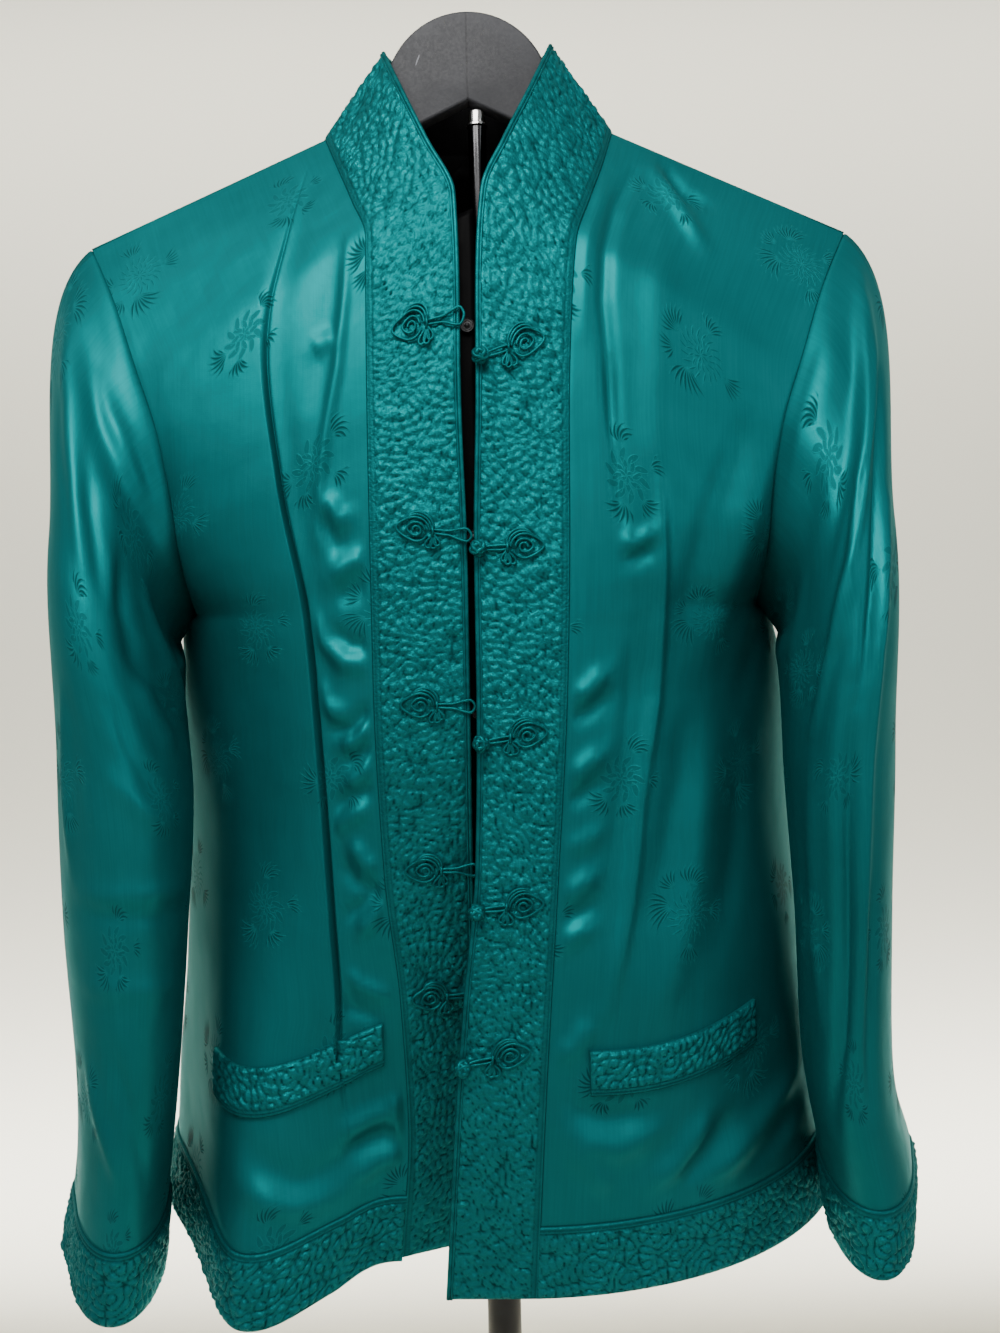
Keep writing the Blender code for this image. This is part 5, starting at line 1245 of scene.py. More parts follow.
def build_hem_back():
    """The quilted hem band of the back, in one piece."""
    steps, keys = strip_steps("hem_back")
    around = np.linspace(-BACK_SPAN[1], BACK_SPAN[1], steps)
    level, u = np.meshgrid(past_seam(HEM_SEAM_ROW, keys), around)
    left = (u >= 0)[..., None]
    places = np.where(left, back_point(1, abs(u), level), back_point(-1, abs(u), level))
    halves = [panel_out(back_point, side, abs(u), level) for side in (1, -1)]
    quilted("hem_back", places, np.where(left, *halves), 51)


def place_on_front(side, across, z):
    """The front's own coordinates for a distance from the centre line and a height."""
    u = np.full_like(across, 0.5)
    level = np.full_like(across, 9.5)
    for _ in range(14):
        here = front_base(side, u, level)
        right = front_base(side, u + NEAR, level)
        below = front_base(side, u, level + NEAR)
        miss_x = across - side * (here[..., 0] - JACKET_X)
        miss_z = z - here[..., 2]
        per_u = side * (right[..., 0] - here[..., 0]) / NEAR
        per_level = (below[..., 2] - here[..., 2]) / NEAR
        u = np.clip(u + miss_x / per_u, 0.01, 0.97)
        level = np.clip(level + miss_z / per_level, 7.0, 11.0)
    return u, level


def build_welt(side):
    """A slanted, quilted pocket welt on a front."""
    welt = WELTS[side]
    steps, keys = strip_steps("welt")
    up, along = np.meshgrid(keys, np.linspace(0, 1, steps))
    across = welt["x"][0] + (welt["x"][1] - welt["x"][0]) * along
    low = welt["z"][0] + (welt["z"][1] - welt["z"][0]) * along - welt["sag"] * np.sin(math.pi * along)
    u, level = place_on_front(side, across, low + welt["height"] * up)
    normal = panel_out(front_point, side, u, level)
    base = front_point(side, u, level) + normal * WELT_LIFT
    quilted(sided("pocket_welt", side), base, normal, 61 + side, inner="satin", under=WELT_WALL)


# ---------------------------------------------------------------- corded edges, frogs and snaps
def on_band(side, inset, z, lift):
    """A place over a band, an inset from its free edge, lifted off its base surface."""
    edge = band_point(side, np.array(1.0), z)
    seam = band_point(side, np.array(0.0), z)
    width = np.linalg.norm(edge - seam)
    normal = band_outward(side, np.array(0.6), z)
    return edge + (seam - edge) / width * inset + normal * lift


def build_piping(side):
    """The corded edge of a band: a fat outer cord with a finer one sewn beside it."""
    low = BAND[side]["z"][0]
    heights = np.concatenate((np.linspace(low, 1.25, 90), np.linspace(1.25, NECK_SEAM_Z, 60)[1:]))
    outer = [on_band(side, EDGE_LAP - PIPING_RADIUS, z, 0.0004) for z in heights]
    beside = [on_band(side, PIPING_INNER, z, 0.0010) for z in heights]
    corded(sided("piping", side), [outer], PIPING_RADIUS, sides=3, finer=[(beside, PIPING_FINER)])


def build_collar_piping():
    """The corded top edge of the collar."""
    around = np.linspace(0.02, 1.98, 90)
    edge = collar_point(around, np.ones_like(around))
    seam = collar_point(around, np.zeros_like(around))
    upward = (edge - seam) / np.linalg.norm(edge - seam, axis=-1, keepdims=True)
    normal = outward(collar_point, around, np.full_like(around, 0.99), BACK_MIDDLE)
    outer = edge + upward * (PIPING_RADIUS - EDGE_LAP) + normal * 0.0004
    beside = edge - upward * PIPING_INNER + normal * 0.0010
    corded("piping_collar", [outer], PIPING_RADIUS, sides=3, finer=[(beside, PIPING_FINER)])


def flower_spiral(start, end, turns, grow):
    """A spiral of cord round a flower's centre, with a point away from the free edge."""
    line = []
    for share in np.linspace(0, 1, 64):
        angle = math.pi - 2 * math.pi * turns * (1 - share)
        radius = start + (end - start) * share
        point = 1 + grow * max(0.0, math.cos(angle)) ** 3
        across = FROG_CENTRE + radius * point * math.cos(angle)
        line.append((across, radius * FROG_SQUASH * math.sin(angle), 0.0))
    return line


def flower_arc(gap):
    """An arc of cord round a flower's upper side, from its waist."""
    line = []
    for share in np.linspace(0, 1, 30):
        angle = math.radians(176 - 128 * share)
        radius = 0.0070 + gap * math.sin(math.pi * min(1.0, 0.12 + share)) ** 0.7
        line.append((FROG_CENTRE + radius * math.cos(angle), radius * FROG_SQUASH * math.sin(angle), 0.0))
    return line


def finger_loop(turn, length):
    """A narrow loop of cord below a flower, turned from the line across the band."""
    axis = Vector((math.cos(math.radians(turn)), math.sin(math.radians(turn))))
    aside = Vector((-axis.y, axis.x))
    line = []
    for share in np.linspace(0, 1, 26):
        out = length * math.sin(math.pi * share) ** 0.8
        wide = 0.0015 * math.sin(2 * math.pi * share)
        place = Vector((FROG_WAIST, -0.0014)) + axis * out + aside * wide
        line.append((place.x, place.y, 0.0004))
    return line


def rosette_lines(reach):
    """One frog's cords, as lines of (distance from the free edge, height, lift)."""
    lines = [flower_spiral(0.0012, 0.0046, 1.55, 0.25), flower_spiral(0.0058, 0.0070, 0.93, 0.55)]
    lines += [flower_arc(gap) for gap in (0.0016, 0.0031)]
    lines += [finger_loop(*finger) for finger in ((-62, 0.0078), (-86, 0.0070), (-110, 0.0058))]
    if reach < 0:  # the button loop, an eye that stands past the edge
        upper = [(FROG_WAIST + 0.001, 0.0008, 0), (FROG_WAIST - 0.004, 0.0010, 0), (0.0065, 0.0012, 0)]
        upper += [(0.0015, 0.0026, 0.0002), (-0.0022, 0.0030, 0.0004)]
        lower = [(inset, -height, lift) for inset, height, lift in reversed(upper)]
        lines.append(rounded(upper + [(reach, 0.0, 0.0004)] + lower, 60))
    else:  # the knot's two cords
        for height in (0.0009, -0.0009):
            run = [(FROG_WAIST + 0.001, height, 0), (FROG_WAIST - 0.003, height * 1.3, 0)]
            run += [(0.0055, height, 0), (reach - 0.003, height * 0.6, 0.0006)]
            lines.append(rounded(run, 24))
    binding = ((0.0004, 0.0026, 0.0011), (0.0002, 0.0, 0.0014), (0.0004, -0.0026, 0.0011))
    lines.append([(FROG_WAIST + past, height, lift) for past, height, lift in binding])
    return lines


def build_frog(side, index):
    """One side of a frog closure: the knot's side on the left band, the loop's on the right."""
    z_flower = FROGS["z_left" if side > 0 else "z_right"][index]
    z_end = FROGS["z_knot" if side > 0 else "z_loop"][index]
    slope = (z_flower - z_end) / FROG_CENTRE
    paths = []
    for line in rosette_lines(KNOT_CORD_END if side > 0 else LOOP_REACH):
        path = []
        for inset, height, lift in line:
            z = np.array(z_end + slope * inset + height)
            path.append(on_band(side, inset, z, FROG_LIFT + lift))
        paths.append(path)
    corded(("frog_knot_%d" if side > 0 else "frog_loop_%d") % (index + 1), paths, FROG_CORD_RADIUS)


def build_knot(index):
    """A ball of cord that goes over and under itself."""
    z = np.array(FROGS["z_knot"][index])
    middle = on_band(1, 0.0003, z, PIPING_RADIUS + KNOT_RADIUS + 0.0008)
    ball = KNOT_RADIUS - KNOT_CORD_RADIUS
    path = []
    for share in np.linspace(0, 1, 240):
        swing = 2 * math.pi * share
        tilt = math.radians(62) * math.sin(4 * swing)
        angle = 5 * swing + index
        radius = ball * (1 + 0.10 * math.cos(9 * swing))
        path.append(middle + radius * np.array((
            math.cos(tilt) * math.cos(angle), math.sin(tilt), math.cos(tilt) * math.sin(angle),
        )))
    made = corded("knot_button_%d" % (index + 1), [path], KNOT_CORD_RADIUS)
    core = bmesh.new()
    bmesh.ops.create_icosphere(core, subdivisions=3, radius=ball)
    bmesh.ops.translate(core, verts=core.verts, vec=Vector(middle))
    core.from_mesh(made.data)
    core.to_mesh(made.data)
    core.free()
    made.data.shade_smooth()


def build_underlap():
    """The narrow placket behind the right band."""
    heights = np.linspace(UNDERLAP_LOW, UNDERLAP_TOP, 120)
    across, z = np.meshgrid(np.linspace(0, 1, 9), heights)
    edge = band_point(-1, np.ones_like(z), z)
    seam = band_point(-1, np.zeros_like(z), z)
    inwards = (edge - seam) / np.linalg.norm(edge - seam, axis=-1, keepdims=True)
    normal = band_outward(-1, np.full_like(z, 0.9), z)
    reach = UNDERLAP_REACH - UNDERLAP_WIDTH * across
    behind = QUILT_WALL + 0.0006 + 0.0034 * ease(0.0, 1.0, 1 - across)
    places = edge + inwards * reach[..., None] - normal * behind[..., None]
    block = (places, runs(places, 1), -runs(places, 0), normal)
    made = sewn_cloth("underlap", [block], UNDERLAP_WALL, ["lining"])


def build_snap(index):
    """A stud: a disc with a rolled rim, a groove and a small ball in its middle."""
    z = np.array(FROGS["z_right"][index] - SNAP_DROP)
    place = on_band(-1, -SNAP_PAST, z, -QUILT_WALL - UNDERLAP_BEHIND)
    look = Vector(band_outward(-1, np.array(0.9), z))
    turn = Matrix.Translation(Vector(place)) @ look.to_track_quat("Z", "Y").to_matrix().to_4x4()
    r = SNAP_RADIUS
    profile = (
        (0.0, 0.0021), (0.0006, 0.0020), (0.0010, 0.0017), (0.0011, 0.0012), (0.0014, 0.0010),
        (0.0019, 0.0010), (0.0022, 0.0013), (0.0026, 0.0013), (0.0029, 0.0010), (r - 0.0006, 0.0010),
        (r - 0.0002, 0.0013), (r, 0.0010), (r, 0.0005), (0.0, 0.0005),
    )
    turned("snap_%d" % (index + 1), profile, "snap", steps=32, place=turn)


# ---------------------------------------------------------------- the stand
def board_outline():
    """The hanger's outline in its own plane, anticlockwise from the tip of the wearer's left arm."""
    tip_top = ARM_ROOT_Z - (ARM_REACH - ARM_ROOT_X) * ARM_SLOPE
    start = math.asin((ARM_ROOT_Z + BOARD_NECK - BOARD_Z) / BOARD_RADIUS)
    outline = []
    for side in (1, -1):
        half = [(side * ARM_REACH, tip_top), (side * ARM_ROOT_X, ARM_ROOT_Z)]
        for angle in np.linspace(start, math.pi / 2, 25):
            across, up = BOARD_RADIUS * math.cos(angle), BOARD_RADIUS * math.sin(angle)
            half.append((side * across, BOARD_Z + up))
        outline += half if side > 0 else half[::-1][1:]
    tip_low = tip_top - ARM_HEIGHT
    root_low = (ARM_ROOT_X, ARM_ROOT_Z - ARM_HEIGHT)
    outline += [(-ARM_REACH, tip_low), (-root_low[0], root_low[1]), (0.0, BOARD_APEX_Z), root_low]
    outline.append((ARM_REACH, tip_low))
    return outline


def build_board():
    """The outline, extruded to the board's thickness, with its rims rounded."""
    bm = bmesh.new()
    verts = [bm.verts.new((BOARD_X + x, -BOARD_THICKNESS / 2, z)) for x, z in board_outline()]
    face = bm.faces.new(verts)
    grown = bmesh.ops.extrude_face_region(bm, geom=[face])["geom"]
    back = [item for item in grown if isinstance(item, bmesh.types.BMVert)]
    bmesh.ops.translate(bm, verts=back, vec=(0, BOARD_THICKNESS, 0))
    bmesh.ops.recalc_face_normals(bm, faces=bm.faces)
    rims = [edge for edge in bm.edges if len({v.co.y for v in edge.verts}) == 1]
    bmesh.ops.bevel(bm, geom=rims, offset=BOARD_EDGE, affect="EDGES", segments=3, profile=0.5, material=-1)
    mesh = to_mesh(bm, "hanger_board")
    made = finish_object("hanger_board_shaped", mesh, ["board"])
    mesh.set_sharp_from_angle(angle=math.radians(40))
    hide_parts("hanger_board")


def build_stand():
    """The board, and the turned pieces under it from the cap down to the base."""
    build_board()
    cap_top = POLE_TOP_Z + CAP_HEIGHT / 2
    cap_low = POLE_TOP_Z - CAP_HEIGHT / 2
    neck = CAP_RADIUS - 0.0011
    clamp_top = POLE_JOIN_Z + CLAMP_HEIGHT / 2
    clamp_low = POLE_JOIN_Z - CLAMP_HEIGHT / 2
    hub_top = BASE_HEIGHT + HUB_HEIGHT
    pieces = {
        "pole_cap": ("chrome", (
            (0.0, cap_top), (0.0018, cap_top - 0.0001), (0.0032, cap_top - 0.0007),
            (neck - 0.0004, cap_low + 0.86 * CAP_HEIGHT), (neck, cap_low + 0.78 * CAP_HEIGHT),
            (neck, cap_low + 0.0019), (CAP_RADIUS - 0.0002, cap_low + 0.0015),
            (CAP_RADIUS, cap_low + 0.0011), (CAP_RADIUS, cap_low + 0.0002), (0.0, cap_low),
        )),
        "upper_pole": ("chrome", (
            (0.0, cap_low - FIT_GAP), (UPPER_POLE_RADIUS - 0.0004, cap_low - FIT_GAP),
            (UPPER_POLE_RADIUS, cap_low - FIT_GAP - 0.0004), (UPPER_POLE_RADIUS, clamp_top + FIT_GAP),
            (0.0, clamp_top + FIT_GAP),
        )),
        "pole_clamp": ("black", (
            (0.0, clamp_top), (LOWER_POLE_RADIUS - 0.001, clamp_top),
            (LOWER_POLE_RADIUS, clamp_top - 0.001), (CLAMP_RADIUS - 0.0004, clamp_top - 0.0095),
            (CLAMP_RADIUS, clamp_top - 0.0105), (CLAMP_RADIUS, clamp_low + 0.001),
            (CLAMP_RADIUS - 0.001, clamp_low), (0.0, clamp_low),
        )),
        "lower_pole": ("black", (
            (0.0, clamp_low - FIT_GAP), (LOWER_POLE_RADIUS, clamp_low - FIT_GAP),
            (LOWER_POLE_RADIUS, hub_top + FIT_GAP), (0.0, hub_top + FIT_GAP),
        )),
        "base": ("black", (
            (0.0, hub_top), (HUB_RADIUS - 0.001, hub_top), (HUB_RADIUS, hub_top - 0.001),
            (HUB_RADIUS + 0.0005, BASE_HEIGHT + 0.010), (HUB_RADIUS + 0.0025, BASE_HEIGHT + 0.006),
            (HUB_RADIUS + 0.006, BASE_HEIGHT + 0.0030), (HUB_RADIUS + 0.012, BASE_HEIGHT + 0.0014),
            (BASE_RADIUS - 0.004, BASE_HEIGHT), (BASE_RADIUS - 0.0012, BASE_HEIGHT - 0.0012),
            (BASE_RADIUS, BASE_HEIGHT - 0.004), (BASE_RADIUS, 0.0006), (BASE_RADIUS - 0.0006, 0.0),
            (0.0, 0.0),
        )),
    }
    for name, (finish_name, profile) in pieces.items():
        turned(name, profile, finish_name, steps=96 if name == "base" else 48)


# ---------------------------------------------------------------- finishes
SATIN_ROUGH = 0.43
FIGURE_ROUGH = 0.66
SATIN_METAL = 0.62
SATIN_SPECULAR = 0.30
SATIN_TINT = (0.02, 0.62, 0.64, 1.0)
THREAD = 0.00055  # from one thread of the satin to the next
FLOAT_LENGTH = 0.0011  # of a thread over the others
CAP_SHINE = 0.0053  # the chrome is bright down to this far below the top of the pole
SCRATCH = (-0.0315, 1.4420)  # the scratch on the board, as (x, z)
MOTIF_ACROSS = 0.086
MOTIF_DOWN = 0.078
# Each motif's rings: place and turn, then petals, from, to, half width, curl, arc, blunt, depth.
MOTIFS = (
    (
        ((0.002, -0.001), 0, 18, 0.0070, 0.0140, 0.00080, 0.55, 4.0, 0.7, 0.6),
        ((0.002, -0.001), 8, 14, 0.0038, 0.0096, 0.00075, -0.45, 4.0, 0.6, 0.6),
        ((0.002, -0.001), 20, 8, 0.0002, 0.0048, 0.00080, 0.4, 4.0, 0.6, 0.6),
        ((-0.008, 0.009), 120, 24, 0.0010, 0.0130, 0.00085, 0.45, 1.10, 0.9, 1.0),
        ((-0.009, -0.006), 236, 24, 0.0010, 0.0160, 0.00090, -0.4, 0.95, 0.9, 1.0),
        ((-0.014, 0.002), 182, 22, 0.0010, 0.0110, 0.00080, 0.3, 0.80, 0.9, 1.0),
        ((0.011, 0.009), 48, 24, 0.0010, 0.0120, 0.00080, 0.4, 0.80, 0.9, 1.0),
        ((0.012, -0.010), -52, 24, 0.0010, 0.0125, 0.00080, -0.3, 0.80, 0.9, 1.0),
    ),
    (
        ((0, 0), 0, 10, 0.0058, 0.0125, 0.00190, 0.6, 4.0, 0.45, 0.45),
        ((0, 0), 20, 8, 0.0028, 0.0086, 0.00160, -0.6, 4.0, 0.45, 0.45),
        ((0, 0), 0, 6, 0.0003, 0.0042, 0.00110, 0.5, 4.0, 0.5, 0.45),
        ((0.010, 0.009), 40, 16, 0.0010, 0.0110, 0.00100, 1.2, 0.95, 0.9, 1.0),
        ((-0.011, -0.004), 195, 18, 0.0010, 0.0120, 0.00095, 0.7, 1.05, 0.9, 1.0),
        ((-0.003, -0.011), 262, 18, 0.0010, 0.0100, 0.00100, -0.8, 0.85, 0.9, 1.0),
        ((0.012, -0.007), -30, 18, 0.0010, 0.0095, 0.00090, 0.5, 0.70, 0.9, 1.0),
    ),
)


def feed(tree, socket, value):
    """Links a socket's value, or sets a plain one."""
    if isinstance(value, bpy.types.NodeSocket):
        tree.links.new(value, socket)
    else:
        socket.default_value = value


def calc(tree, operation, *values, clamp=False):
    """A Math node."""
    made = tree.nodes.new("ShaderNodeMath")
    made.operation = operation
    made.use_clamp = clamp
    for socket, value in zip(made.inputs, values):
        feed(tree, socket, value)
    return made.outputs[0]


def vector(tree, operation, *values):
    """A Vector Math node."""
    made = tree.nodes.new("ShaderNodeVectorMath")
    made.operation = operation
    for socket, value in zip(made.inputs, values):
        feed(tree, socket, value)
    return made.outputs[1] if operation in ("LENGTH", "DOT_PRODUCT") else made.outputs[0]


def join(tree, x, y, z=0.0):
    """A Combine XYZ node."""
    made = tree.nodes.new("ShaderNodeCombineXYZ")
    for socket, value in zip(made.inputs, (x, y, z)):
        feed(tree, socket, value)
    return made.outputs[0]


def split(tree, value):
    """A Separate XYZ node's outputs."""
    made = tree.nodes.new("ShaderNodeSeparateXYZ")
    feed(tree, made.inputs[0], value)
    return made.outputs


def placed(tree, value, move=(0, 0), turn=0.0, size=1.0):
    """A Mapping node that centres and turns a pattern."""
    made = tree.nodes.new("ShaderNodeMapping")
    made.vector_type = "TEXTURE"
    feed(tree, made.inputs["Vector"], value)
    made.inputs["Location"].default_value = (move[0], move[1], 0)
    made.inputs["Rotation"].default_value = (0, 0, math.radians(turn))
    made.inputs["Scale"].default_value = (size, size, 1)
    return made.outputs[0]


def noise(tree, value, scale, detail=2.0, roughness=0.5):
    """A Noise Texture's value."""
    made = tree.nodes.new("ShaderNodeTexNoise")
    feed(tree, made.inputs["Vector"], value)
    made.inputs["Scale"].default_value = scale
    made.inputs["Detail"].default_value = detail
    made.inputs["Roughness"].default_value = roughness
    return made.outputs[0]


def ramp(tree, value, low, high, start=0.0, end=1.0):
    """A value carried from one range to another, held at its ends."""
    made = tree.nodes.new("ShaderNodeMapRange")
    made.interpolation_type = "SMOOTHSTEP"
    feed(tree, made.inputs[0], value)
    for socket, number in zip(made.inputs[1:5], (low, high, start, end)):
        feed(tree, socket, number)
    return made.outputs[0]


def blend(tree, share, first, second):
    """A mix of two colours."""
    made = tree.nodes.new("ShaderNodeMix")
    made.data_type = "RGBA"
    feed(tree, made.inputs[0], share)
    feed(tree, made.inputs[6], first)
    feed(tree, made.inputs[7], second)
    return made.outputs[2]


def bump(tree, height, strength, distance, normal=None):
    """A Bump node, laid over another normal if one is given."""
    made = tree.nodes.new("ShaderNodeBump")
    made.inputs["Strength"].default_value = strength
    made.inputs["Distance"].default_value = distance
    feed(tree, made.inputs["Height"], height)
    if normal is not None:
        feed(tree, made.inputs["Normal"], normal)
    return made.outputs[0]


def socket(tree, name, way, kind="NodeSocketFloat", default=None):
    """A new socket on a node group."""
    made = tree.interface.new_socket(name=name, in_out=way, socket_type=kind)
    if default is not None:
        made.default_value = default
    return made


def use(tree, group, **values):
    """A node group's outputs, with its inputs fed by name."""
    made = tree.nodes.new("ShaderNodeGroup")
    made.node_tree = group
    for name, value in values.items():
        feed(tree, made.inputs[name.replace("_", " ").capitalize()], value)
    return made.outputs


@functools.cache
def petal_ring():
    """Petals or leaves round a centre: count, reach from and to, half width, curl and fan arc."""
    group = bpy.data.node_groups.new("Petal ring", "ShaderNodeTree")
    do = functools.partial(calc, group)
    socket(group, "Vector", "INPUT", "NodeSocketVector")
    for name, default in (("Petals", 6.0), ("From", 0.002), ("To", 0.01), ("Width", 0.002),
                          ("Curl", 0.0), ("Arc", 4.0), ("Blunt", 1.0)):
        socket(group, name, "INPUT", default=default)
    socket(group, "Mask", "OUTPUT")
    socket(group, "Rim", "OUTPUT")
    given = group.nodes.new("NodeGroupInput").outputs
    x, y, _ = split(group, given["Vector"])
    reach = vector(group, "LENGTH", join(group, x, y))
    plain = do("ARCTAN2", y, x)
    turn = do("ADD", plain, do("MULTIPLY", given["Curl"], do("DIVIDE", reach, given["To"])))
    sector = do("DIVIDE", 2 * math.pi, given["Petals"])
    share = do("DIVIDE", turn, sector)
    angle = do("MULTIPLY", do("SUBTRACT", share, do("ROUND", share)), sector)
    along = do("MULTIPLY", reach, do("COSINE", angle))
    across = do("ABSOLUTE", do("MULTIPLY", reach, do("SINE", angle)))
    length = do("SUBTRACT", given["To"], given["From"])
    part = do("DIVIDE", do("SUBTRACT", along, given["From"]), length, clamp=True)
    belly = do("SINE", do("MULTIPLY", part, math.pi))
    inside = do("SUBTRACT", do("MULTIPLY", given["Width"], do("POWER", belly, given["Blunt"])), across)
    fan = ramp(group, do("SUBTRACT", given["Arc"], do("ABSOLUTE", plain)), 0.0, 0.05)
    mask = do("MULTIPLY", ramp(group, inside, -0.00010, 0.00022), fan)
    line = do("ABSOLUTE", do("SUBTRACT", inside, 0.00018))
    rim = do("MULTIPLY", do("MULTIPLY", ramp(group, line, 0.00038, 0.0), fan), mask)
    out = group.nodes.new("NodeGroupOutput").inputs
    feed(group, out["Mask"], mask)
    feed(group, out["Rim"], rim)
    return group


@functools.cache
def woven_motifs():
    """Jacquard flowers and leaves on the cloth's own coordinates: a mask and its bright outlines."""
    group = bpy.data.node_groups.new("Woven motifs", "ShaderNodeTree")
    do = functools.partial(calc, group)
    socket(group, "Vector", "INPUT", "NodeSocketVector")
    socket(group, "Figure", "OUTPUT")
    socket(group, "Outline", "OUTPUT")
    x, y, _ = split(group, group.nodes.new("NodeGroupInput").outputs["Vector"])
    tier = do("FLOOR", do("DIVIDE", y, MOTIF_DOWN))
    shift = do("MULTIPLY", do("FRACT", do("MULTIPLY", tier, 0.5)), MOTIF_ACROSS)
    slid = do("ADD", x, shift)
    column = do("FLOOR", do("DIVIDE", slid, MOTIF_ACROSS))
    local_x = do("SUBTRACT", slid, do("MULTIPLY", do("ADD", column, 0.5), MOTIF_ACROSS))
    local_y = do("SUBTRACT", y, do("MULTIPLY", do("ADD", tier, 0.5), MOTIF_DOWN))
    dice = group.nodes.new("ShaderNodeTexWhiteNoise")
    dice.noise_dimensions = "2D"
    feed(group, dice.inputs["Vector"], join(group, column, tier))
    chance = split(group, dice.outputs["Color"])
    jitter = join(group, *(do("MULTIPLY_ADD", chance[i], -0.012, 0.006) for i in (0, 1)))
    turn = group.nodes.new("ShaderNodeVectorRotate")
    turn.rotation_type = "Z_AXIS"
    feed(group, turn.inputs["Vector"], vector(group, "ADD", join(group, local_x, local_y), jitter))
    feed(group, turn.inputs["Angle"], do("MULTIPLY_ADD", chance[2], 2.4, -1.2))
    figures, rims = [], []
    for parts in MOTIFS:
        figure, rim = 0.0, 0.0
        for move, angle, petals, start, end, width, curl, arc, blunt, depth in parts:
            ring = use(
                group, petal_ring(), vector=placed(group, turn.outputs[0], move, angle), petals=petals,
                curl=curl, arc=arc, blunt=blunt, width=width, to=end, **{"from": start},
            )
            figure = do("MAXIMUM", figure, do("MULTIPLY", ring["Mask"], depth))
            rim = do("MAXIMUM", rim, ring["Rim"])
        figures.append(figure)
        rims.append(rim)
    parity = do("MULTIPLY", do("ADD", column, tier), 0.5)
    odd = do("GREATER_THAN", do("FRACT", parity), 0.25)
    shares = (do("SUBTRACT", 1.0, odd), odd)
    out = group.nodes.new("NodeGroupOutput").inputs
    for name, pair in (("Figure", figures), ("Outline", rims)):
        kept = [do("MULTIPLY", each, share) for each, share in zip(pair, shares)]
        feed(group, out[name], do("MAXIMUM", *kept))
    return group


@functools.cache
def satin_weave():
    """Fine satin floats: a height across the threads and a slow unevenness along them."""
    group = bpy.data.node_groups.new("Satin weave", "ShaderNodeTree")
    do = functools.partial(calc, group)
    socket(group, "Vector", "INPUT", "NodeSocketVector")
    socket(group, "Height", "OUTPUT")
    socket(group, "Slub", "OUTPUT")
    x, y, _ = split(group, group.nodes.new("NodeGroupInput").outputs["Vector"])
    threads = do("SINE", do("MULTIPLY", x, 2 * math.pi / THREAD))
    floats = do("SINE", do("MULTIPLY_ADD", y, 2 * math.pi / FLOAT_LENGTH, do("MULTIPLY", x, 3400)))
    streaks = noise(group, join(group, do("MULTIPLY", x, 900), do("MULTIPLY", y, 22)), 1.0)
    out = group.nodes.new("NodeGroupOutput").inputs
    feed(group, out["Height"], do("MULTIPLY_ADD", floats, 0.35, do("MULTIPLY", threads, 0.5)))
    feed(group, out["Slub"], streaks)
    return group


def scaled(colour, share):
    """A colour at a share of its brightness."""
    return (colour[0] * share, colour[1] * share, colour[2] * share, 1.0)


def shades(tree, share, colour, first, second):
    """A colour that goes from one share of its brightness to another."""
    return blend(tree, share, scaled(colour, first), scaled(colour, second))


def brightened(tree, colour, value):
    """A colour with its brightness times a value that varies."""
    made = tree.nodes.new("ShaderNodeHueSaturation")
    feed(tree, made.inputs["Color"], colour)
    feed(tree, made.inputs["Value"], value)
    return made.outputs[0]


def cloth_place(tree):
    """The place in the cloth that a piece is cut from, in metres."""
    made = tree.nodes.new("ShaderNodeUVMap")
    made.uv_map = "Cloth"
    return made.outputs[0]


def object_place(tree):
    """The place in the object's own space."""
    return tree.nodes.new("ShaderNodeTexCoord").outputs["Object"]


def dress(tree, **values):
    """Feeds the Principled BSDF's inputs by name, with underscores for spaces."""
    for name, value in values.items():
        feed(tree, tree.nodes["Principled BSDF"].inputs[name.replace("_", " ")], value)


def satin_finish(tree):
    place = cloth_place(tree)
    do = functools.partial(calc, tree)
    colour = colours().satin
    motif = use(tree, woven_motifs(), vector=place)
    weave = use(tree, satin_weave(), vector=place)
    base = shades(tree, motif["Figure"], colour, 1.0, 0.36)
    base = blend(tree, do("MULTIPLY", motif["Outline"], 0.50), base, scaled(colour, 1.7))
    uneven = ramp(tree, noise(tree, place, 9.0, 3.0), 0.25, 0.75, 0.90, 1.08)
    uneven = do("MULTIPLY", uneven, ramp(tree, weave["Slub"], 0.2, 0.8, 0.94, 1.06))
    rough = ramp(tree, motif["Figure"], 0.0, 1.0, SATIN_ROUGH, FIGURE_ROUGH)
    raised = do("MULTIPLY_ADD", motif["Figure"], 0.6, do("MULTIPLY", motif["Outline"], 0.6))
    fine = bump(tree, weave["Height"], 0.10, 0.00008)
    small = bump(tree, noise(tree, place, 260.0, 2.0), 0.12, 0.0005, fine)
    small = bump(tree, noise(tree, place, 34.0, 1.0), 0.55, 0.0016, small)
    dress(
        tree, Base_Color=brightened(tree, base, uneven),
        Roughness=do("MULTIPLY_ADD", weave["Slub"], 0.06, rough),
        Metallic=ramp(tree, motif["Figure"], 0.0, 1.0, SATIN_METAL, 0.15),
        Specular_IOR_Level=SATIN_SPECULAR, Specular_Tint=SATIN_TINT,
        Normal=bump(tree, raised, 0.45, 0.0002, small),
    )


